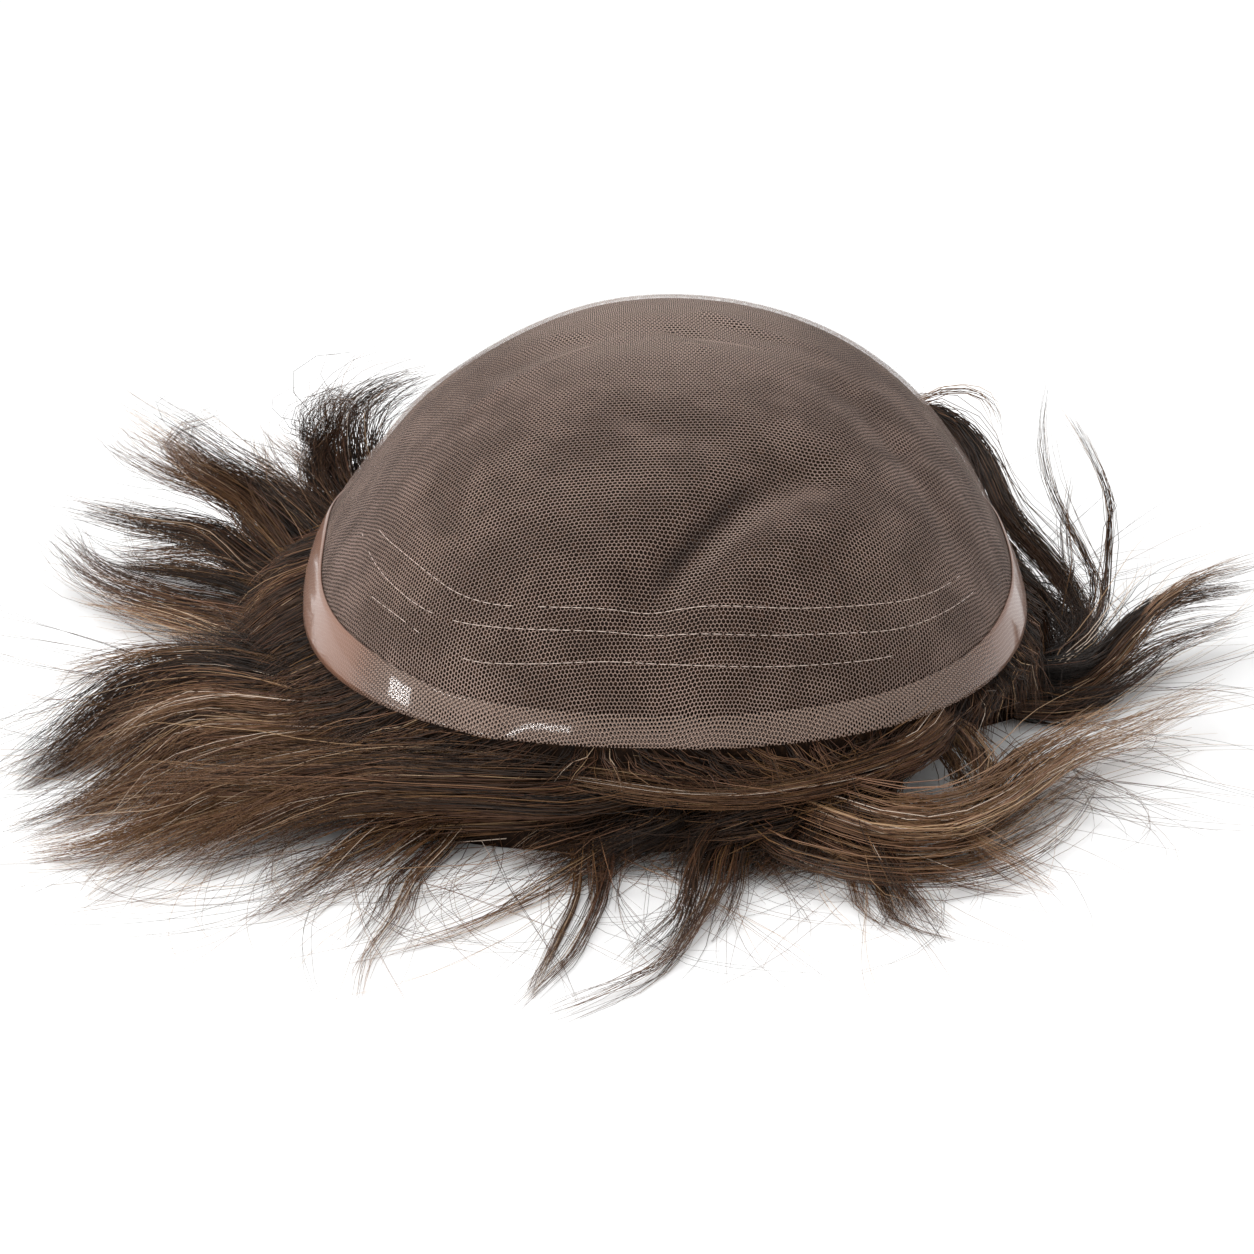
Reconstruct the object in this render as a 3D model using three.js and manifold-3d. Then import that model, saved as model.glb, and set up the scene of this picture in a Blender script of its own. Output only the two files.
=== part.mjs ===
// A toupee lying inside out: a domed lace base with its glossy border strip stands on the hair,
// which lines its hollow underneath and fans out over the surface in locks.
// Millimetres, +Z up, the front hairline towards -Y, standing on z = 0.
import * as THREE from "three";
import { mergeVertices } from "three/addons/utils/BufferGeometryUtils.js";
import Module from "manifold-3d";

const wasm = await Module();
wasm.setup();

// Driving sizes of the lace base
const rimHalfWidth = 72; // ear to ear, outside the lace
const rimHalfLength = 92; // front hairline to crown end, outside the lace
const domeRise = 57; // from the rim to the top
const rimClearance = 20; // front rim above the surface, held up by the hair
const sideRise = 5; // how much higher the rim runs over the temples
const laceWall = 1.2;
const frontRoundness = 2.55; // superellipse power of the hairline with its temple corners
const backRoundness = 2.2; // superellipse power of the crown end

// Driving sizes of the border strip, coated on the outside of the lace
const borderThickness = 0.7;
const borderFrontWidth = 6.5;
const borderSideWidth = 10;

// Driving sizes of the hair
const hairDepth = 7; // layer of roots under the lace
const skirtReach = 27; // dense hair standing out past the rim
const skirtToe = 5; // height of the dense hair at its outer edge
const hairReach = 90; // how far past the rim a full lock ends
const liftHeight = 46; // the highest curl above the surface
const lockWidth = 29;
const lockThickness = 10;
const tipThickness = 1.6;

// Gap between pieces that touch
const seatGap = 0.3;

// Facets
const columns = 60;
const domeRows = 11;
const lockSides = 6;
const lockStations = 7;

const degrees = Math.PI / 180;

// Shallow dents of the soft lace, in plan. Ends are shares of the rim's half width and half length,
// width is a share of the half width, and depth, outwards where negative, a share of the rise.
const dents = [
  { name: "front crease", fromX: 0.36, fromY: -0.64, toX: -0.05, toY: -0.9, width: 0.075, depth: 0.062 },
  { name: "crease ridge", fromX: 0.48, fromY: -0.72, toX: 0.1, toY: -0.93, width: 0.09, depth: -0.03 },
  { name: "top hollow", fromX: -0.38, fromY: -0.16, toX: 0.26, toY: -0.1, width: 0.1, depth: 0.03 },
  { name: "right flute", fromX: 0.5, fromY: -0.32, toX: 0.74, toY: -0.56, width: 0.08, depth: 0.035 },
  { name: "left slump", fromX: -0.7, fromY: -0.2, toX: -0.6, toY: 0.3, width: 0.34, depth: 0.05 },
  { name: "back hollow", fromX: -0.3, fromY: 0.7, toX: 0.35, toY: 0.78, width: 0.16, depth: 0.05 },
];

// Dense hair past the rim: at is degrees round the rim, 0 right and 90 back, and reach a share of skirtReach.
const skirtShape = [
  { at: 0, reach: 0.55 },
  { at: 40, reach: 0.8 },
  { at: 72, reach: 0.55 },
  { at: 95, reach: 0.7 },
  { at: 122, reach: 0.55 },
  { at: 150, reach: 0.85 },
  { at: 176, reach: 0.7 },
  { at: 205, reach: 0.95 },
  { at: 232, reach: 0.9 },
  { at: 258, reach: 0.5 },
  { at: 282, reach: 0.72 },
  { at: 300, reach: 0.42 },
  { at: 322, reach: 0.14 },
  { at: 340, reach: 0.34 },
];

// Locks of hair. at is degrees round the rim where a lock leaves the base, and its middle and tip lie at
// midTurn and tipTurn in the same degrees. midOut and tipOut are their distances past the rim as shares
// of hairReach, leaveUp, midUp and tipUp heights as shares of liftHeight, and width a share of lockWidth.
const locks = [
  { at: 148, leaveUp: 0.1, midTurn: 144, midOut: 0.2, midUp: 0.62, tipTurn: 139, tipOut: 0.17, tipUp: 0.9, width: 0.8 },
  { at: 128, leaveUp: 0.1, midTurn: 127, midOut: 0.22, midUp: 0.42, tipTurn: 119, tipOut: 0.28, tipUp: 0.7, width: 0.8 },
  { at: 162, leaveUp: 0.1, midTurn: 145, midOut: 0.48, midUp: 0.36, tipTurn: 138, tipOut: 1.1, tipUp: 0.52, width: 1.1 },
  { at: 157, leaveUp: 0.1, midTurn: 142, midOut: 0.5, midUp: 0.5, tipTurn: 136, tipOut: 0.5, tipUp: 0.74, width: 0.8 },
  { at: 168, leaveUp: 0.1, midTurn: 152, midOut: 0.48, midUp: 0.26, tipTurn: 145, tipOut: 1, tipUp: 0.22, width: 1 },
  { at: 176, leaveUp: 0.05, midTurn: 159, midOut: 0.5, midUp: 0.12, tipTurn: 146, tipOut: 1, tipUp: 0.14, width: 1 },
  { at: 184, leaveUp: 0.05, midTurn: 180, midOut: 0.4, midUp: 0.08, tipTurn: 178, tipOut: 0.72, tipUp: 0.04, width: 1.15 },
  { at: 194, leaveUp: 0.08, midTurn: 192, midOut: 0.4, midUp: 0.14, tipTurn: 190, tipOut: 0.66, tipUp: 0.05, width: 1.2 },
  { at: 206, leaveUp: 0.1, midTurn: 202, midOut: 0.34, midUp: 0.24, tipTurn: 208, tipOut: 0.72, tipUp: 0.04, width: 1.2 },
  { at: 214, leaveUp: 0.1, midTurn: 212, midOut: 0.4, midUp: 0.16, tipTurn: 215, tipOut: 0.74, tipUp: 0.02, width: 1.2 },
  { at: 221, leaveUp: 0.05, midTurn: 218, midOut: 0.42, midUp: 0.1, tipTurn: 220, tipOut: 0.77, tipUp: 0.02, width: 1.1 },
  { at: 228, leaveUp: 0.05, midTurn: 226, midOut: 0.42, midUp: 0.06, tipTurn: 229, tipOut: 0.74, tipUp: 0, width: 1 },
  { at: 238, leaveUp: 0.02, midTurn: 233, midOut: 0.34, midUp: 0.06, tipTurn: 236, tipOut: 0.58, tipUp: 0, width: 0.9 },
  { at: 260, leaveUp: 0.04, midTurn: 243, midOut: 0.2, midUp: 0.1, tipTurn: 226, tipOut: 0.64, tipUp: 0.03, width: 1.1 },
  { at: 250, leaveUp: 0, midTurn: 246, midOut: 0.3, midUp: 0.03, tipTurn: 248, tipOut: 0.7, tipUp: 0, width: 0.6 },
  { at: 258, leaveUp: 0, midTurn: 252, midOut: 0.34, midUp: 0.03, tipTurn: 253, tipOut: 0.86, tipUp: 0, width: 0.45 },
  { at: 264, leaveUp: 0, midTurn: 264, midOut: 0.3, midUp: 0.03, tipTurn: 260, tipOut: 0.76, tipUp: 0, width: 0.4 },
  { at: 276, leaveUp: 0, midTurn: 273, midOut: 0.34, midUp: 0.03, tipTurn: 263, tipOut: 0.84, tipUp: 0, width: 0.5 },
  { at: 281, leaveUp: 0, midTurn: 277, midOut: 0.3, midUp: 0.03, tipTurn: 274, tipOut: 0.5, tipUp: 0, width: 0.5 },
  { at: 303, leaveUp: 0.1, midTurn: 288, midOut: 0.06, midUp: 0.16, tipTurn: 267, tipOut: 0.08, tipUp: 0.14, width: 0.8 },
  { at: 290, leaveUp: 0.05, midTurn: 319, midOut: 0.2, midUp: 0.1, tipTurn: 352, tipOut: 0.62, tipUp: 0.1, width: 1.1 },
  { at: 296, leaveUp: 0.08, midTurn: 330, midOut: 0.26, midUp: 0.16, tipTurn: 350, tipOut: 0.5, tipUp: 0.34, width: 0.55 },
  { at: 308, leaveUp: 0.1, midTurn: 307, midOut: 0.08, midUp: 0.12, tipTurn: 303, tipOut: 0.22, tipUp: 0.06, width: 0.8 },
  { at: 282, leaveUp: 0.02, midTurn: 291, midOut: 0.2, midUp: 0.06, tipTurn: 307, tipOut: 0.26, tipUp: 0.05, width: 1.1 },
  { at: 286, leaveUp: 0, midTurn: 288, midOut: 0.24, midUp: 0.04, tipTurn: 290, tipOut: 0.6, tipUp: 0, width: 0.6 },
  { at: 58, leaveUp: 0.58, midTurn: 27, midOut: 0.16, midUp: 0.42, tipTurn: 352, tipOut: 0.1, tipUp: 0.06, width: 1.1 },
  { at: 10, leaveUp: 0.1, midTurn: 13, midOut: 0.26, midUp: 0.3, tipTurn: 23, tipOut: 0.16, tipUp: 1.1, width: 0.35 },
  { at: 18, leaveUp: 0.1, midTurn: 19, midOut: 0.34, midUp: 0.36, tipTurn: 19, tipOut: 0.24, tipUp: 1, width: 0.3 },
  { at: 352, leaveUp: 0.05, midTurn: 7, midOut: 0.26, midUp: 0.14, tipTurn: 20, tipOut: 0.8, tipUp: 0.22, width: 1 },
  { at: 345, leaveUp: 0.05, midTurn: 4, midOut: 0.3, midUp: 0.08, tipTurn: 18, tipOut: 0.66, tipUp: 0.13, width: 0.9 },
  { at: 337, leaveUp: 0.03, midTurn: 352, midOut: 0.26, midUp: 0.05, tipTurn: 2, tipOut: 0.6, tipUp: 0.06, width: 0.9 },
  { at: 2, leaveUp: 0.1, midTurn: 357, midOut: 0.16, midUp: 0.12, tipTurn: 345, tipOut: 0.14, tipUp: 0.04, width: 1.3 },
  { at: 44, leaveUp: 0.08, midTurn: 42, midOut: 0.3, midUp: 0.16, tipTurn: 38, tipOut: 0.6, tipUp: 0.08, width: 1 },
  { at: 72, leaveUp: 0.1, midTurn: 70, midOut: 0.3, midUp: 0.3, tipTurn: 65, tipOut: 0.66, tipUp: 0.5, width: 1 },
  { at: 84, leaveUp: 0.05, midTurn: 86, midOut: 0.3, midUp: 0.2, tipTurn: 90, tipOut: 0.7, tipUp: 0.08, width: 1 },
  { at: 95, leaveUp: 0.1, midTurn: 94, midOut: 0.3, midUp: 0.35, tipTurn: 89, tipOut: 0.64, tipUp: 0.52, width: 1 },
  { at: 105, leaveUp: 0.05, midTurn: 108, midOut: 0.32, midUp: 0.2, tipTurn: 113, tipOut: 0.74, tipUp: 0.06, width: 1 },
  { at: 116, leaveUp: 0.1, midTurn: 115, midOut: 0.3, midUp: 0.3, tipTurn: 109, tipOut: 0.66, tipUp: 0.38, width: 1 },
  { at: 138, leaveUp: 0.1, midTurn: 134, midOut: 0.34, midUp: 0.3, tipTurn: 129, tipOut: 0.7, tipUp: 0.46, width: 0.9 },
  { at: 153, leaveUp: 0.05, midTurn: 149, midOut: 0.4, midUp: 0.14, tipTurn: 151, tipOut: 0.8, tipUp: 0.06, width: 1 },
];

// Stations along a lock: along is the share of its length, and width and thickness shares of its own.
const lockTaper = [
  { along: 0, width: 0.7, thickness: 1 },
  { along: 0.4, width: 1, thickness: 1 },
  { along: 0.75, width: 0.76, thickness: 0.6 },
  { along: 1, width: 0.12, thickness: 0 },
];

// Straight-line reading of a column of a table whose rows are sorted by key
function readTable(rows, key, column, at) {
  const after = rows.findIndex((row) => row[key] > at);
  if (after <= 0) return rows[after === 0 ? 0 : rows.length - 1][column];
  const [low, high] = [rows[after - 1], rows[after]];
  return THREE.MathUtils.mapLinear(at, low[key], high[key], low[column], high[column]);
}

// Reading of the skirt's table, which runs round the rim
function skirtOut(angle) {
  const turn = THREE.MathUtils.euclideanModulo(angle / degrees, 360);
  const rows = [...skirtShape, { ...skirtShape[0], at: 360 }];
  return skirtReach * readTable(rows, "at", "reach", turn);
}

// Radius of the rim's outline in plan, outside the lace
function rimRadius(angle) {
  const power = Math.sin(angle) < 0 ? frontRoundness : backRoundness;
  const across = Math.abs(Math.cos(angle) / rimHalfWidth) ** power;
  const along = Math.abs(Math.sin(angle) / rimHalfLength) ** power;
  return (across + along) ** (-1 / power);
}

// Height of the rim above the surface, with its rise over the temples
function rimHeight(angle) {
  return rimClearance + sideRise * Math.cos(angle) ** 2;
}

function domeTop() {
  return rimClearance + domeRise;
}

// Depth of all dents at a point in plan
function dentDepth(x, y) {
  const point = new THREE.Vector3(x, y, 0);
  const nearest = new THREE.Vector3();
  return dents.reduce((sum, dent) => {
    const from = new THREE.Vector3(dent.fromX * rimHalfWidth, dent.fromY * rimHalfLength, 0);
    const to = new THREE.Vector3(dent.toX * rimHalfWidth, dent.toY * rimHalfLength, 0);
    new THREE.Line3(from, to).closestPointToPoint(point, true, nearest);
    const away = nearest.distanceTo(point) / (dent.width * rimHalfWidth);
    return sum + dent.depth * domeRise * Math.exp(-away * away);
  }, 0);
}

// A point of the dome: angle round it, climb from 0 at the rim to 90 degrees at the top, and inset
// inwards from the lace's outer face. Every layer shares the same dents, so their gaps stay even.
function domePoint(angle, climb, inset) {
  const radius = rimRadius(angle);
  const rim = rimHeight(angle);
  const rise = domeTop() - rim;
  const [out, up] = [Math.cos(climb), Math.sin(climb)];
  const normal = new THREE.Vector3(
    (Math.cos(angle) * out) / radius,
    (Math.sin(angle) * out) / radius,
    up / rise,
  ).normalize();
  const dent = dentDepth(radius * out * Math.cos(angle), radius * out * Math.sin(angle));
  return new THREE.Vector3(
    (radius - inset) * out * Math.cos(angle),
    (radius - inset) * out * Math.sin(angle),
    rim + (rise - inset) * up,
  ).addScaledVector(normal, -dent);
}

function ringOf(pointAt) {
  return Array.from({ length: columns }, (_, column) => pointAt((column / columns) * 2 * Math.PI));
}

// Rings of the dome at one inset, from just under the top down to the lowest climb
function domeRings(inset, lowestClimb = () => 0) {
  return Array.from({ length: domeRows }, (_, row) => {
    const share = 1 - (row + 1) / domeRows;
    return ringOf((angle) => {
      const low = lowestClimb(angle);
      return domePoint(angle, low + (Math.PI / 2 - low) * share, inset);
    });
  });
}

// Skin over rings of equal size, each an array of points. The ends close on poles, or ring to ring.
// A face's diagonal runs down from left to right on both sides of a wall, so nested walls stay clear.
function skinOver(rings, poles) {
  const size = rings[0].length;
  const points = rings.flat();
  const index = [];
  const at = (ring, column) => (ring % rings.length) * size + (column % size);
  const steps = poles ? rings.length - 1 : rings.length;
  for (let ring = 0; ring < steps; ring += 1) {
    const climbing = points[at(ring, 0)].z < points[at(ring + 1, 0)].z;
    for (let column = 0; column < size; column += 1) {
      const near = [at(ring, column), at(ring + 1, column)];
      const far = [at(ring + 1, column + 1), at(ring, column + 1)];
      if (climbing) index.push(...near, far[1], near[1], ...far);
      else index.push(...near, far[0], near[0], ...far);
    }
  }
  if (poles) {
    const first = points.push(poles[0]) - 1;
    const last = points.push(poles[1]) - 1;
    for (let column = 0; column < size; column += 1) {
      index.push(first, at(0, column), at(0, column + 1));
      index.push(last, at(rings.length - 1, column + 1), at(rings.length - 1, column));
    }
  }
  return new THREE.BufferGeometry().setFromPoints(points).setIndex(index);
}

function toSolid(geometry) {
  const bare = geometry.clone();
  bare.deleteAttribute("normal");
  bare.deleteAttribute("uv");
  const merged = mergeVertices(bare, 1e-4);
  return new wasm.Manifold(
    new wasm.Mesh({
      numProp: 3,
      vertProperties: new Float32Array(merged.attributes.position.array),
      triVerts: new Uint32Array(merged.index.array),
    }),
  );
}

function toGeometry(solid) {
  const mesh = solid.getMesh();
  const geometry = new THREE.BufferGeometry();
  geometry.setAttribute("position", new THREE.BufferAttribute(mesh.vertProperties, 3));
  geometry.setIndex(new THREE.BufferAttribute(mesh.triVerts, 1));
  geometry.computeVertexNormals();
  return geometry;
}

// The net dome, one wall thick and open underneath
function laceDome() {
  const outside = domeRings(0);
  const inside = domeRings(laceWall).reverse();
  return skinOver([...outside, ...inside], [
    domePoint(0, Math.PI / 2, 0),
    domePoint(0, Math.PI / 2, laceWall),
  ]);
}

// How far up the lace the border strip reaches, wider over the sides and back than at the hairline
function borderWidth(angle) {
  const front = Math.max(0, -Math.sin(angle)) ** 3;
  return THREE.MathUtils.lerp(borderSideWidth, borderFrontWidth, front);
}

// The coated strip round the outside of the rim
function borderStrip() {
  const climbTo = (angle) => Math.asin(borderWidth(angle) / (domeTop() - rimHeight(angle)));
  const inner = -seatGap;
  const outer = -seatGap - borderThickness;
  const ringAt = (share, inset) => ringOf((angle) => domePoint(angle, climbTo(angle) * share, inset));
  const outside = [1, 0.5, 0].map((share) => ringAt(share, outer));
  const inside = [0, 0.5, 1].map((share) => ringAt(share, inner));
  return skinOver([...outside, ...inside], null);
}

// A point past the rim, out from the lace's outer face, at its own height
function pastRim(angle, out, height) {
  const radius = rimRadius(angle) + out;
  return new THREE.Vector3(radius * Math.cos(angle), radius * Math.sin(angle), height);
}

// The layer of roots that lines the dome, running out under the rim in a dense skirt
function hairBody() {
  const lining = laceWall + seatGap;
  const hollow = lining + hairDepth;
  const lip = seatGap + borderThickness + seatGap;
  const bevel = 0.55; // share of the way down the skirt's slope
  const underRim = (angle) => rimHeight(angle) - seatGap;
  const skirt = [
    ringOf((angle) => pastRim(angle, -lining, underRim(angle))),
    ringOf((angle) => pastRim(angle, lip, underRim(angle))),
    ringOf((angle) => {
      const height = THREE.MathUtils.lerp(underRim(angle), skirtToe, bevel);
      return pastRim(angle, lip + skirtOut(angle) * bevel, height);
    }),
    ringOf((angle) => pastRim(angle, lip + skirtOut(angle), skirtToe)),
    ringOf((angle) => pastRim(angle, lip + skirtOut(angle) * 0.9, 0)),
    ringOf((angle) => pastRim(angle, -hollow, 0)),
  ];
  return skinOver([...domeRings(lining), ...skirt, ...domeRings(hollow).reverse()], [
    domePoint(0, Math.PI / 2, lining),
    domePoint(0, Math.PI / 2, hollow),
  ]);
}

// The line that a lock follows, from inside the skirt to its tip
function lockPath(lock) {
  const middle = lockThickness / 2;
  const outAt = (turn, out, height) => pastRim(turn * degrees, out * hairReach, height);
  return new THREE.CatmullRomCurve3(
    [
      pastRim(lock.at * degrees, -hairDepth * 0.4, middle + seatGap),
      pastRim(lock.at * degrees, skirtReach * 0.25, middle + lock.leaveUp * liftHeight),
      outAt(lock.midTurn, lock.midOut, middle * 0.8 + lock.midUp * liftHeight),
      outAt(lock.tipTurn, lock.tipOut, tipThickness / 2 + lock.tipUp * liftHeight),
    ],
    false,
    "centripetal",
  );
}

// One flattened, tapering lock
function lockSolid(lock) {
  const path = lockPath(lock);
  const up = new THREE.Vector3(0, 0, 1);
  const rings = [];
  for (let station = 0; station < lockStations; station += 1) {
    const along = station / (lockStations - 1);
    const centre = path.getPointAt(along);
    const forward = path.getTangentAt(along);
    const side = new THREE.Vector3().crossVectors(up, forward).normalize();
    const over = new THREE.Vector3().crossVectors(forward, side);
    const halfWidth = (readTable(lockTaper, "along", "width", along) * lock.width * lockWidth) / 2;
    const swell = readTable(lockTaper, "along", "thickness", along);
    const halfThickness = THREE.MathUtils.lerp(tipThickness, lockThickness, swell) / 2;
    rings.push(
      Array.from({ length: lockSides }, (_, corner) => {
        const turn = (corner / lockSides) * 2 * Math.PI;
        return centre
          .clone()
          .addScaledVector(side, -Math.cos(turn) * halfWidth)
          .addScaledVector(over, Math.sin(turn) * halfThickness);
      }),
    );
  }
  return toSolid(skinOver(rings, [path.getPointAt(0), path.getPointAt(1)]));
}

// The room that the lace and its border take, filled in, with a gap all round
function domeRoom() {
  const room = -seatGap - borderThickness - seatGap;
  const foot = ringOf((angle) => pastRim(angle, -room, rimHeight(angle) - seatGap));
  return skinOver([...domeRings(room), foot], [
    domePoint(0, Math.PI / 2, room),
    new THREE.Vector3(0, 0, rimClearance),
  ]);
}

// All the hair: the lining with its skirt, every lock fused to it, cut level where it lies on the surface.
// A pocket closed in between locks is filled, because only outer shells are kept.
function hair() {
  const depth = lockWidth;
  const span = 4 * (rimHalfLength + hairReach);
  const surface = new THREE.BoxGeometry(span, span, depth).translate(0, 0, -depth / 2);
  const [first, ...others] = locks.map(lockSolid);
  const fan = others.reduce((grown, lock) => grown.add(lock), first);
  const body = toSolid(hairBody()).add(fan.subtract(toSolid(domeRoom()))).subtract(toSolid(surface));
  const outerShells = body.decompose().filter((shell) => shell.volume() > 0);
  return toGeometry(wasm.Manifold.compose(outerShells));
}

function piece(name, geometry, colour, roughness) {
  const material = new THREE.MeshStandardMaterial({ color: colour, roughness, metalness: 0 });
  const mesh = new THREE.Mesh(geometry, material);
  mesh.name = name;
  return mesh;
}

const toupee = new THREE.Group();
toupee.add(
  piece("lace_dome", laceDome(), "#7d6a60", 0.8),
  piece("skin_border", borderStrip(), "#a98c7d", 0.25),
  piece("hair", hair(), "#3d2a1f", 0.55),
);

// The origin is the middle of the footprint
const footprint = new THREE.Box3().setFromObject(toupee).getCenter(new THREE.Vector3());
toupee.position.set(-footprint.x, -footprint.y, 0);

export default toupee;
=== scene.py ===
# A toupee lying inside out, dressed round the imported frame: a fine net dome with its glossy border and
# lines of stitching, standing on hair that lines the hollow and fans out over the floor in locks.
# Shapes are worked out in millimetres from the middle of the base, and meshes are made in metres.
import math
import random

import bpy
import numpy as np
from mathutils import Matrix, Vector


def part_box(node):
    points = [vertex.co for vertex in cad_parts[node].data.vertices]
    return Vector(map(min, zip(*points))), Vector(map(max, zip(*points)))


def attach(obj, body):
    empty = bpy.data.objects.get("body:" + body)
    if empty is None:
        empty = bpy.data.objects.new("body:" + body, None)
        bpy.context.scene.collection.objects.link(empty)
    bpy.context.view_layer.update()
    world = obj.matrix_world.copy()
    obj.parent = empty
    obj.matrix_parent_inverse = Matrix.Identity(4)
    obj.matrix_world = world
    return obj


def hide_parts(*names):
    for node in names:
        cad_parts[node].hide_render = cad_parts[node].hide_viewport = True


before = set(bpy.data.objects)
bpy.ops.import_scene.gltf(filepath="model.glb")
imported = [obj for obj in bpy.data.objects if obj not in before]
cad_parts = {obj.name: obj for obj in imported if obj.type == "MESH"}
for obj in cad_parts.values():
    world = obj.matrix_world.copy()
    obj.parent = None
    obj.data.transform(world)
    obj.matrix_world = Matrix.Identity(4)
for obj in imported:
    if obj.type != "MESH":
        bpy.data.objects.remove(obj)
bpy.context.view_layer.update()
print("frame loaded")

mm = 0.001
fullTurn = 2 * math.pi

# Base: the sizes that the lace, its border and the hair under it share, in millimetres
base = {
    "halfWidth": 72,
    "halfLength": 92,
    "rise": 57,
    "rimClearance": 20,
    "sideRise": 5,
    "frontRoundness": 2.55,
    "backRoundness": 2.2,
    # how far each side of the lace falls in, the degrees of climb where most, and over how many degrees
    "rightHollow": (5, 24, 26),
    "leftHollow": (5, 26, 18),
}

# Soft dents of the lace in plan: from x, from y, to x, to y as shares of the half sizes, width as a share
# of the half width, and depth, outwards where negative, as a share of the rise
dents = [
    (0.36, -0.64, -0.05, -0.90, 0.075, 0.062),  # front crease
    (0.48, -0.72, 0.10, -0.93, 0.09, -0.030),  # ridge beside it
    (-0.38, -0.16, 0.26, -0.10, 0.10, 0.030),  # hollow at the top
    (0.50, -0.32, 0.74, -0.56, 0.08, 0.035),  # flute on the right
    (-0.70, -0.20, -0.60, 0.30, 0.34, 0.050),  # slump on the left
    (-0.30, 0.70, 0.35, 0.78, 0.16, 0.050),  # hollow at the back
    # flatter shoulders and finer puckers, in the lace alone
    (-0.66, 0.34, -0.28, 0.52, 0.24, 0.040),
    (0.32, 0.52, 0.74, 0.34, 0.24, 0.045),
    (-0.52, -0.34, -0.12, -0.16, 0.030, -0.012),
    (-0.30, -0.06, 0.10, -0.24, 0.030, -0.010),
    (0.02, -0.10, 0.30, -0.20, 0.025, 0.012),
    (0.12, 0.00, 0.42, -0.12, 0.028, -0.012),
    (0.30, -0.42, 0.42, -0.20, 0.030, 0.010),
    (0.44, -0.50, 0.58, -0.26, 0.030, -0.010),
    (0.62, -0.44, 0.80, -0.30, 0.035, 0.012),
    (0.70, -0.60, 0.84, -0.44, 0.040, -0.012),
    (-0.10, -0.52, 0.22, -0.62, 0.050, 0.010),
    (-0.62, -0.62, -0.40, -0.78, 0.060, 0.012),
]

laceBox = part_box("lace_dome")
baseMiddle = np.array([
    laceBox[1].x / mm - base["halfWidth"],
    laceBox[1].y / mm - base["halfLength"],
    0.0,
])


# Radius of the rim's outline in plan
def rimRadius(angle):
    power = np.where(np.sin(angle) < 0, base["frontRoundness"], base["backRoundness"])
    across = np.abs(np.cos(angle) / base["halfWidth"]) ** power
    along = np.abs(np.sin(angle) / base["halfLength"]) ** power
    return (across + along) ** (-1 / power)


# Height of the rim above the floor, higher over the temples
def rimHeight(angle):
    return base["rimClearance"] + base["sideRise"] * np.cos(angle) ** 2


# Depth of the dents at points in plan
def dentDepth(x, y):
    halfSize = np.array([base["halfWidth"], base["halfLength"]])
    total = np.zeros(np.shape(x))
    for fromX, fromY, toX, toY, width, depth in dents:
        start = np.array([fromX, fromY]) * halfSize
        run = np.array([toX, toY]) * halfSize - start
        share = np.clip(((x - start[0]) * run[0] + (y - start[1]) * run[1]) / run.dot(run), 0, 1)
        away = np.hypot(x - start[0] - share * run[0], y - start[1] - share * run[1])
        total += depth * base["rise"] * np.exp(-((away / (width * base["halfWidth"])) ** 2))
    return total


# How far the sides of the dome fall in from an even round
def sideHollow(angle, climb):
    total = np.zeros(np.shape(climb))
    for side, name in ((1, "rightHollow"), (-1, "leftHollow")):
        depth, middle, spread = base[name]
        facing = np.clip(side * np.cos(angle), 0, 1) ** 2
        total += facing * depth * np.exp(-(((np.degrees(climb) - middle) / spread) ** 2))
    return total


# Points of the dome: angle round it, climb from 0 at the rim to a quarter turn at the top, and inset
# inwards from the lace
def domePoint(angle, climb, inset):
    angle, climb, inset = np.broadcast_arrays(angle, climb, inset)
    radius, rim = rimRadius(angle), rimHeight(angle)
    rise = base["rimClearance"] + base["rise"] - rim
    out, up = np.cos(climb), np.sin(climb)
    normal = np.stack([np.cos(angle) * out / radius, np.sin(angle) * out / radius, up / rise], -1)
    normal /= np.linalg.norm(normal, axis=-1, keepdims=True)
    dent = dentDepth(radius * out * np.cos(angle), radius * out * np.sin(angle))
    reach = (radius - inset) * out - sideHollow(angle, climb)
    place = np.stack([reach * np.cos(angle), reach * np.sin(angle), rim + (rise - inset) * up], -1)
    return place - normal * dent[..., None]


# Points past the rim, at their own height
def pastRim(angle, out, height):
    angle, out, height = np.broadcast_arrays(angle, out, height)
    radius = rimRadius(angle) + out
    return np.stack([radius * np.cos(angle), radius * np.sin(angle), height], -1)


# Straight-line reading of a table of (degrees round the rim, value), which runs round
def readRound(table, angle):
    turn = np.degrees(angle) % 360
    return np.interp(turn, [row[0] for row in table], [row[1] for row in table], period=360)


def smoothStep(low, high, value):
    share = np.clip((value - low) / (high - low), 0, 1)
    return share * share * (3 - 2 * share)


# A mesh object at the origin, from points in millimetres about the middle of the base
def meshPiece(name, points, faces, material=None, edges=()):
    mesh = bpy.data.meshes.new(name)
    places = (np.asarray(points).reshape(-1, 3) + baseMiddle) * mm
    mesh.from_pydata(places.tolist(), edges, faces)
    mesh.update()
    if material:
        mesh.materials.append(material)
    mesh.shade_smooth()
    piece = bpy.data.objects.new(name, mesh)
    bpy.context.collection.objects.link(piece)
    return piece


# Faces over rings of equal size that close round, joined end to end, or closed on two poles that
# follow the rings in the list of points
def ringFaces(ringCount, size, poles):
    faces = []
    for ring in range(ringCount - 1 if poles else ringCount):
        here, below = ring * size, ((ring + 1) % ringCount) * size
        for column in range(size):
            after = (column + 1) % size
            faces.append((here + column, below + column, below + after, here + after))
    if poles:
        first, last = ringCount * size, ringCount * size + 1
        end = (ringCount - 1) * size
        for column in range(size):
            after = (column + 1) % size
            faces.append((first, column, after))
            faces.append((last, end + after, end + column))
    return faces


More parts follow.
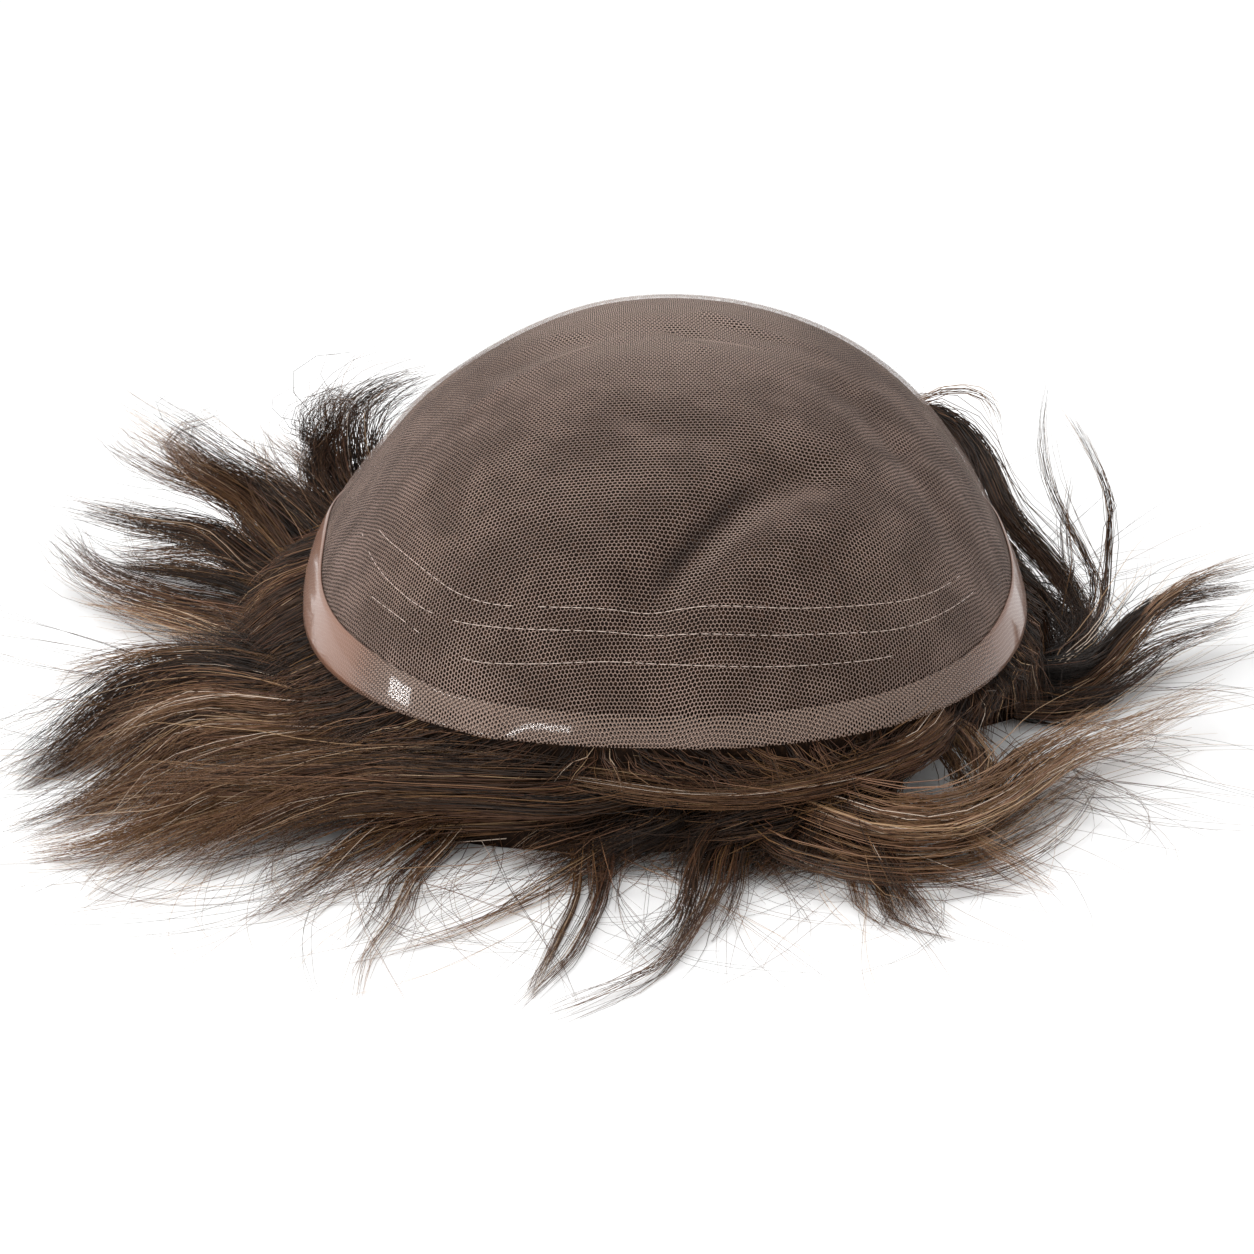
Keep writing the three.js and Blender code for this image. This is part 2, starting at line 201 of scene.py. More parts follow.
# One value, or one place in a map, for each vertex
def addMap(piece, name, places):
    layer = piece.data.uv_layers.new(name=name)
    corner = np.empty(len(piece.data.loops), np.int32)
    piece.data.loops.foreach_get("vertex_index", corner)
    layer.data.foreach_set("uv", np.asarray(places, float).reshape(-1, 2)[corner].ravel())


def addValue(piece, name, values, kind="FLOAT"):
    layer = piece.data.attributes.new(name, kind, "POINT")
    field = "vector" if kind == "FLOAT_VECTOR" else "value"
    layer.data.foreach_set(field, np.asarray(values).ravel())


# A socket that takes part in Python sums by adding Math nodes
class Value:
    def __init__(self, look, socket):
        self.look, self.socket = look, socket

    def maths(self, operation, *others):
        return self.look.node("ShaderNodeMath", {"operation": operation}, [self, *others])

    def __add__(self, other):
        return self.maths("ADD", other)

    def __radd__(self, other):
        return self.maths("ADD", other)

    def __mul__(self, other):
        return self.maths("MULTIPLY", other)

    def __rmul__(self, other):
        return self.maths("MULTIPLY", other)

    def __sub__(self, other):
        return self.maths("SUBTRACT", other)

    def __rsub__(self, other):
        return self.look.node("ShaderNodeMath", {"operation": "SUBTRACT"}, [other, self])

    def __truediv__(self, other):
        return self.maths("DIVIDE", other)

    def __pow__(self, other):
        return self.maths("POWER", other)


# The nodes of one material or one geometry tree
class Look:
    def __init__(self, tree):
        self.tree = tree

    # Adds a node: its settings first, then its sockets by name or in order, and gives one output
    def node(self, kind, settings=None, sockets=(), output=0):
        made = self.tree.nodes.new(kind)
        for name, setting in (settings or {}).items():
            if name == "stops":
                self.setStops(made.color_ramp, setting)
            else:
                setattr(made, name, setting)
        named = sockets.items() if isinstance(sockets, dict) else enumerate(sockets)
        for key, given in named:
            if isinstance(given, Value):
                self.tree.links.new(given.socket, made.inputs[key])
            elif given is not None:
                made.inputs[key].default_value = given
        live = [socket for socket in made.outputs if socket.enabled]
        found = live[output] if isinstance(output, int) else made.outputs[output]
        return Value(self, found)

    def setStops(self, ramp, stops):
        while len(ramp.elements) < len(stops):
            ramp.elements.new(1)
        for element, (place, colour) in zip(ramp.elements, stops):
            element.position = place
            element.color = colour

    # A value that the mesh carries
    def attribute(self, name):
        return self.node("ShaderNodeAttribute", {"attribute_name": name}, (), "Fac")

    def bump(self, height, strength, distance):
        sockets = {"Height": height, "Strength": strength, "Distance": distance}
        return self.node("ShaderNodeBump", {}, sockets)

    def blend(self, share, first, second):
        sockets = {"Factor": share, 6: first, 7: second}
        return self.node("ShaderNodeMix", {"data_type": "RGBA"}, sockets, "Result")

    # 0 below low and 1 above high, with a soft edge
    def edge(self, value, low, high):
        sockets = {"Value": value, "From Min": low, "From Max": high}
        return self.node("ShaderNodeMapRange", {"interpolation_type": "SMOOTHSTEP"}, sockets)


# Colour as picked on screen, 0 to 255, for a linear socket
def screen(red, green, blue):
    return (*((channel / 255) ** 2.2 for channel in (red, green, blue)), 1.0)


def newMaterial(name, constants):
    material = bpy.data.materials.new(name)
    material.use_nodes = True
    shader = material.node_tree.nodes["Principled BSDF"]
    for socket, value in constants.items():
        shader.inputs[socket].default_value = value
    return material, Look(material.node_tree), shader


def feed(look, shader, values):
    for socket, value in values.items():
        look.tree.links.new(value.socket, shader.inputs[socket])


# Net: its hole spacing in millimetres, and its colours
net = {
    "pitch": 0.83,
    "mapScale": 100,  # millimetres to one unit of the map laceUv
    "holeRadius": 0.445,  # shares of the pitch
    "holeSoftness": 0.05,
    "waver": 0.16,
    "threadColour": screen(147, 124, 113),
    "shadeColour": screen(120, 100, 90),
    # painted light: a pale thread colour laid on the top of the dome as a painted sheen, and on the fold
    # beside the crease as a painted highlight
    "paintedLightColour": screen(174, 152, 140),
    # shares of the climb over which the rim's rows tighten and over which the top is painted paler as a
    # painted sheen, and by how much they tighten
    "rimClimb": (0.02, 0.16),
    "paintedSheenClimb": (0.62, 0.92),
    "rimTighter": 0.03,
    "columns": 280,
    "rows": 66,
    "thickness": 0.15,
}


# Crease in the front of the lace: a line of painted shadow in plan with a painted highlight on the fold beside
# it, in millimetres
crease = {
    "from": (16.8, -60.2),
    "to": (-4.6, -80.8),
    "shadowWidth": 2.3,
    "shadow": 0.72,
    "foldAway": 4.4,
    "foldWidth": 3.4,
    "foldPaintedLight": 0.4,
    "startsOver": (-0.15, 0.25),  # shares of its run over which it starts and ends
    "endsOver": (0.7, 1.1),
    "shadowColour": screen(34, 26, 22),
}


# Distance from the nearest hole's middle, in pitches, over the map laceUv
def netDistance(look):
    flat = look.node("ShaderNodeUVMap", {"uv_map": "laceUv"})
    noise = look.node("ShaderNodeTexNoise", {}, {"Vector": flat, "Scale": 22.0, "Detail": 2.0}, "Color")
    shift = look.node("ShaderNodeVectorMath", {"operation": "SUBTRACT"}, [noise, (0.5, 0.5, 0.5)])
    wavered = look.node("ShaderNodeVectorMath", {"operation": "MULTIPLY_ADD"}, [
        shift,
        (net["waver"] * 6 * net["pitch"] / net["mapScale"],) * 3,
        flat,
    ])
    perPitch = net["mapScale"] / net["pitch"]
    scaled = look.node("ShaderNodeVectorMath", {"operation": "MULTIPLY"}, [wavered, (perPitch,) * 3])
    across = look.node("ShaderNodeSeparateXYZ", {}, [scaled], "X")
    along = look.node("ShaderNodeSeparateXYZ", {}, [scaled], "Y")
    rowPair = math.sqrt(3)

    def fromRow(shift):
        x = (across + shift).maths("WRAP", 0.5, -0.5)
        y = (along + shift * rowPair).maths("WRAP", rowPair / 2, -rowPair / 2)
        return (x * x + y * y).maths("SQRT")

    return fromRow(0.0).maths("MINIMUM", fromRow(0.5))


def laceMaterial():
    material, look, shader = newMaterial("laceThread", {
        "Roughness": 0.75,
        "Sheen Weight": 0.13,
        "Sheen Roughness": 0.35,
        "Sheen Tint": screen(226, 204, 192),
    })
    distance = netDistance(look)
    height = look.attribute("climb")
    atRim = 1 - look.edge(height, *net["rimClimb"])
    radius = net["holeRadius"] - atRim * net["rimTighter"]
    thread = look.edge(distance - radius, -net["holeSoftness"], net["holeSoftness"])
    place = look.node("ShaderNodeTexCoord", {}, (), "Object")
    patches = look.node("ShaderNodeTexNoise", {}, {"Vector": place, "Scale": 110.0, "Detail": 4.0})
    shade = look.edge(patches, 0.35, 0.7)
    toned = look.blend(shade, net["shadeColour"], net["threadColour"])
    # painted sheen: the threads grow paler towards the top of the dome
    sheenPainted = look.blend(look.edge(height, *net["paintedSheenClimb"]), toned, net["paintedLightColour"])
    beside = look.attribute("creaseSide")
    run = look.attribute("creaseRun")
    ends = look.edge(run, *crease["startsOver"]) * (1 - look.edge(run, *crease["endsOver"]))

    def nearLine(away, width):
        return ends * (1 - look.edge((beside - away).maths("ABSOLUTE"), 0.0, width))

    # painted highlight on the fold beside the crease, then the crease's painted shadow over it
    foldLitColour = look.blend(
        nearLine(crease["foldAway"], crease["foldWidth"]) * crease["foldPaintedLight"], sheenPainted, net["paintedLightColour"]
    )
    colour = look.blend(
        nearLine(0.0, crease["shadowWidth"]) * crease["shadow"], foldLitColour, crease["shadowColour"]
    )
    bump = look.bump(thread, 0.6, 0.0001)
    feed(look, shader, {"Base Color": colour, "Alpha": thread, "Normal": bump})
    return material


# The lace laid flat from its top: direction round, and distance over the curve. The same map, shrunk to one
# unit, is there for baking.
def addLaceMaps(piece, angle, reach, poles):
    flat = np.stack([reach * np.cos(angle), reach * np.sin(angle)], -1) / net["mapScale"]
    places = np.concatenate([flat.reshape(-1, 2), flat[::-1].reshape(-1, 2), np.zeros((poles, 2))])
    addMap(piece, "laceUv", places)
    addMap(piece, "OFBake", places / (2.02 * np.abs(places).max()) + 0.5)


def laceMesh():
    angle = np.arange(net["columns"]) / net["columns"] * fullTurn
    climb = (1 - np.arange(1, net["rows"] + 1) / net["rows"])[:, None] * math.pi / 2
    outside = domePoint(angle, climb, 0)
    inside = domePoint(angle, climb[::-1], net["thickness"])
    top = domePoint(0, math.pi / 2, 0)
    tops = np.stack([top, domePoint(0, math.pi / 2, net["thickness"])])
    points = np.concatenate([outside.reshape(-1, 3), inside.reshape(-1, 3), tops])
    piece = meshPiece("laceNet", points, ringFaces(2 * net["rows"], net["columns"], True), laceMaterial())

    steps = np.linalg.norm(np.diff(np.concatenate([
        np.broadcast_to(top, (1, net["columns"], 3)),
        outside,
    ]), axis=0), axis=-1)
    reach = np.cumsum(steps, axis=0)
    addLaceMaps(piece, angle, reach, 2)
    climbs = np.concatenate([np.broadcast_to(c, (net["rows"], net["columns"])).ravel() for c in (
        climb, climb[::-1]
    )] + [np.full(2, math.pi / 2)])
    addValue(piece, "climb", climbs / (math.pi / 2))
    start, run = np.array(crease["from"]), np.subtract(crease["to"], crease["from"])
    away = points[:, :2] - start
    addValue(piece, "creaseRun", away @ run / run.dot(run))
    addValue(piece, "creaseSide", away @ np.array([-run[1], run[0]]) / np.hypot(*run))
    return piece, reach


lace, laceReach = laceMesh()
print("lace made")

# Border: the coated strip round the outside of the rim. Its width and how milky it is go by degrees.
border = {
    "inside": -0.12,
    "outside": -0.45,
    "rows": 10,
    "width": [(0, 8), (30, 9), (90, 9), (150, 9), (190, 10), (215, 9), (232, 8), (245, 6), (270, 5.6),
              (295, 6), (312, 7), (325, 8), (345, 8)],
    "milky": [(0, 0.9), (90, 1), (190, 1), (216, 1), (228, 0.75), (237, 0.25), (247, 0.12), (290, 0.1),
              (306, 0.35), (318, 0.7), (330, 0.85)],
    "pinchAt": 250,  # degrees round the rim
    "pinchWidth": 2.4,
    "pinchDepth": 1.1,
    "flare": 1.0,
    "milkColour": screen(124, 89, 72),
    "threadColour": screen(158, 134, 120),
    "holeColour": screen(50, 36, 29),
    "holeAlpha": 0.1,
    "threadAlpha": 0.85,
    "roughness": 0.42,
    "threadSmoother": 0.1,
}


def borderMaterial():
    material, look, shader = newMaterial("coatedEdge", {
        "Coat Weight": 0.65,
        "Coat Roughness": 0.06,
        "Specular IOR Level": 0.2,
    })
    distance = netDistance(look)
    milky = look.attribute("milky")
    thread = look.edge(distance, net["holeRadius"] - 0.06, net["holeRadius"] + 0.04)
    netting = look.blend(thread, border["holeColour"], border["threadColour"])
    colour = look.blend(look.edge(milky, 0.2, 0.95), netting, border["milkColour"])
    solid = look.edge(milky, 0.1, 0.9)
    netted = thread * (border["threadAlpha"] - border["holeAlpha"]) + border["holeAlpha"]
    alpha = (solid + (1 - solid) * netted).maths("MINIMUM", 1.0)
    bump = look.bump(thread, 0.35, 0.0001)
    rough = border["roughness"] - thread * border["threadSmoother"]
    feed(look, shader, {"Base Color": colour, "Alpha": alpha, "Normal": bump, "Roughness": rough})
    return material


def borderMesh():
    columns, rows = net["columns"], border["rows"]
    angle = np.arange(columns) / columns * fullTurn
    rise = base["rimClearance"] + base["rise"] - rimHeight(angle)
    climbTo = np.arcsin(readRound(border["width"], angle) / rise)
    down = np.linspace(1, 0, rows)[:, None]
    pinched = border["flare"] + border["pinchDepth"] * np.exp(
        -(((np.degrees(angle) - border["pinchAt"]) / border["pinchWidth"]) ** 2)
    )
    outside = domePoint(angle, climbTo * down, border["outside"] - pinched * (1 - down))
    inside = domePoint(angle, climbTo * down[::-1], border["inside"] - pinched * down)
    points = np.concatenate([outside.reshape(-1, 3), inside.reshape(-1, 3)])
    piece = meshPiece("borderFilm", points, ringFaces(2 * rows, columns, False), borderMaterial())

    climbs = (np.arange(net["rows"], dtype=float) + 1)
    reachAt = np.stack([
        np.interp((1 - climbTo[column] * down[:, 0] / (math.pi / 2)) * net["rows"], climbs,
                  laceReach[:, column])
        for column in range(columns)
    ], 1)
    addLaceMaps(piece, angle, reachAt, 0)
    milky = np.broadcast_to(readRound(border["milky"], angle), (2 * rows, columns))
    addValue(piece, "milky", milky)
    return piece


film = borderMesh()
print("border made")

# Stitching: three lines across the front of the lace, as (degrees round the rim, degrees of climb)
stitching = {
    "lines": [
        [(222, 27), (234, 26), (246, 22), (257, 23.5), (274, 24), (292, 22), (303, 20), (312, 20)],
        [(218, 24), (226, 22), (242, 18), (261, 20), (276, 19.2), (290, 18), (298, 16), (314, 16)],
        [(228, 17), (236, 16), (246, 12), (263, 15), (276, 14), (288, 13), (296, 12)],
    ],
    "lift": -0.12,
    "points": 160,  # of each line
    "spacing": 2.1 * mm,
    "length": 1.15 * mm,  # half of a stitch
    "thickness": 0.07 * mm,
    "kept": 0.8,  # share of stitches that show
    "seed": 4,
    "colour": screen(198, 180, 168),
}


# An empty tree with an input for each value
def treeWith(name, values):
    kinds = {float: "Float", int: "Int", bpy.types.Material: "Material"}
    tree = bpy.data.node_groups.new(name, "GeometryNodeTree")
    tree.interface.new_socket("Geometry", in_out="INPUT", socket_type="NodeSocketGeometry")
    for label, value in values.items():
        kind = "NodeSocket" + kinds[type(value)]
        tree.interface.new_socket(label, in_out="INPUT", socket_type=kind)
    tree.interface.new_socket("Geometry", in_out="OUTPUT", socket_type="NodeSocketGeometry")
    look = Look(tree)
    source = tree.nodes.new("NodeGroupInput")
    given = {socket.name: Value(look, socket) for socket in source.outputs if socket.name}
    return look, given


def endTree(look, geometry, material):
    real = look.node("GeometryNodeRealizeInstances", {}, [geometry])
    dressed = look.node("GeometryNodeSetMaterial", {}, {"Geometry": real, "Material": material})
    last = look.tree.nodes.new("NodeGroupOutput")
    look.tree.links.new(dressed.socket, last.inputs[0])


# Runs a tree on an object, with its inputs set by their identifiers, and keeps the result as a plain mesh
def grow(piece, tree, values):
    modifier = piece.modifiers.new("grow", "NODES")
    modifier.node_group = tree
    for item in tree.interface.items_tree:
        if item.in_out == "INPUT" and item.name in values:
            modifier[item.identifier] = values[item.name]
    depsgraph = bpy.context.evaluated_depsgraph_get()
    mesh = bpy.data.meshes.new_from_object(piece.evaluated_get(depsgraph), depsgraph=depsgraph)
    piece.modifiers.clear()
    old = piece.data
    piece.data = mesh
    mesh.name = piece.name
    bpy.data.meshes.remove(old)
    return piece


def stitchTree(values):
    look, given = treeWith("stitches", values)
    curve = look.node("GeometryNodeMeshToCurve", {}, [given["Geometry"]])
    spaced = look.tree.nodes.new("GeometryNodeCurveToPoints")
    spaced.mode = "LENGTH"
    look.tree.links.new(curve.socket, spaced.inputs["Curve"])
    look.tree.links.new(given["Spacing"].socket, spaced.inputs["Length"])
    runs = look.node("ShaderNodeTexNoise", {}, {"Scale": 75.0, "Detail": 1.0})
    drawn = look.node("FunctionNodeRandomValue", {"data_type": "FLOAT"}, {"Seed": given["Seed"]})
    chance = drawn * 0.3 + look.edge(runs, 0.3, 0.7) * 0.7
    shown = look.node("FunctionNodeCompare", {"operation": "LESS_THAN"}, [chance, given["Kept"]])
    along = look.node("FunctionNodeAlignRotationToVector", {"axis": "Z"}, {
        "Vector": Value(look, spaced.outputs["Tangent"]),
    })
    stitch = look.node("GeometryNodeMeshIcoSphere", {}, {"Radius": 1.0, "Subdivisions": 1})
    stretch = look.node("FunctionNodeRandomValue", {"data_type": "FLOAT"}, {
        2: 0.7, 3: 1.1, "Seed": given["Seed"] + 1,
    })
    size = look.node("ShaderNodeCombineXYZ", {}, [
        given["Thickness"], given["Thickness"], given["Length"] * stretch,
    ])
    placed = look.node("GeometryNodeInstanceOnPoints", {}, {
        "Points": Value(look, spaced.outputs["Points"]), "Selection": shown, "Instance": stitch,
        "Rotation": along, "Scale": size,
    })
    endTree(look, placed, given["Material"])
    return look.tree


def stitchPiece():
    points, edges = [], []
    for line in stitching["lines"]:
        degrees = np.linspace(line[0][0], line[-1][0], stitching["points"])
        climb = np.interp(degrees, [stop[0] for stop in line], [stop[1] for stop in line])
        climb = np.convolve(np.pad(climb, 8, mode="edge"), np.ones(17) / 17, mode="valid")
        start = len(points)
        points.extend(domePoint(np.radians(degrees), np.radians(climb), stitching["lift"]).tolist())
        edges.extend((start + step, start + step + 1) for step in range(stitching["points"] - 1))
    piece = meshPiece("stitchLines", points, [], edges=edges)
    material = newMaterial("stitchThread", {
        "Base Color": stitching["colour"], "Roughness": 0.6, "Sheen Weight": 0.2,
    })[0]
    values = {name.capitalize(): stitching[name] for name in (
        "spacing", "length", "thickness", "kept", "seed"
    )}
    values["Material"] = material
    return grow(piece, stitchTree(values), values)


stitches = stitchPiece()
print("stitching made")

# Hair colours, from the darkest strands to the palest, by tone
hairColours = [
    (0.0, screen(22, 14, 8)),
    (0.14, screen(42, 28, 17)),
    (0.28, screen(66, 46, 29)),
    (0.4, screen(86, 57, 42)),
    (0.54, screen(112, 82, 50)),
    (0.68, screen(134, 98, 76)),
    (0.84, screen(180, 148, 112)),
    (1.0, screen(224, 204, 186)),
]
hairLooks = {"shine": 0.34, "roughness": 0.55, "paleSmoother": 0.3, "paleTips": 0.12}


def hairMaterial():
    material, look, shader = newMaterial("hairStrand", {"Specular IOR Level": hairLooks["shine"]})
    tone = look.attribute("tone")
    along = look.attribute("along")
    lifted = tone + along * hairLooks["paleTips"]
    colour = look.node("ShaderNodeValToRGB", {"stops": hairColours}, [lifted], "Color")
    rough = hairLooks["roughness"] - tone * hairLooks["paleSmoother"]
    feed(look, shader, {"Base Color": colour, "Roughness": rough})
    return material


# Roots: the layer of hair under the lace with its dense skirt, dark, under the strands
roots = {
    "under": 0.85,  # inset from the lace's outer face
    "depth": 7.2,
    "columns": 120,
    "rows": 28,
    "reach": [(0, 2), (20, 1), (40, 3), (72, 3), (122, 3), (150, 3), (176, 3), (205, 6),
              (232, 6), (250, 3), (270, 1), (288, 2), (297, -2), (303, -17), (318, -19),
              (334, -11), (344, 1)],
    "rimGap": 1.2,
    "toe": 3.5,
    "colour": screen(30, 20, 13),
    "streakColour": screen(54, 38, 26),
}


def rootsMaterial():
    material, look, shader = newMaterial("hairRootLayer", {"Roughness": 0.7, "Specular IOR Level": 0.1})
    place = look.node("ShaderNodeTexCoord", {}, (), "Object")
    grain = look.node("ShaderNodeTexNoise", {}, {"Vector": place, "Scale": 900.0, "Detail": 4.0})
    colour = look.blend(look.edge(grain, 0.45, 0.75), roots["colour"], roots["streakColour"])
    bump = look.bump(grain, 0.8, 0.0006)
    feed(look, shader, {"Base Color": colour, "Normal": bump})
    return material


def rootsMesh():
    columns, rows = roots["columns"], roots["rows"]
    angle = np.arange(columns) / columns * fullTurn
    climb = (1 - np.arange(1, rows + 1) / rows)[:, None] * math.pi / 2
    under, inner = roots["under"], roots["under"] + roots["depth"]
    reach = readRound(roots["reach"], angle)
    top = rimHeight(angle) - roots["rimGap"]
    skirt = np.stack([
        pastRim(angle, -under, top),
        pastRim(angle, 0.2 - under, top * 0.8),
        pastRim(angle, reach * 0.15 - under, top * 0.5),
        pastRim(angle, reach * 0.55 - under, roots["toe"] + (top - roots["toe"]) * 0.15),
        pastRim(angle, reach, roots["toe"] * 0.6),
        pastRim(angle, reach * 0.92, 0.2),
        pastRim(angle, np.minimum(-inner, reach - 2), 0.2),
    ])
    rings = np.concatenate([
        domePoint(angle, climb, under), skirt, domePoint(angle, climb[::-1], inner),
    ])
    ends = np.stack([domePoint(0, math.pi / 2, under), domePoint(0, math.pi / 2, inner)])
    points = np.concatenate([rings.reshape(-1, 3), ends])
    return meshPiece("hairRoots", points, ringFaces(len(rings), columns, True), rootsMaterial())


rootLayer = rootsMesh()
print("roots made")
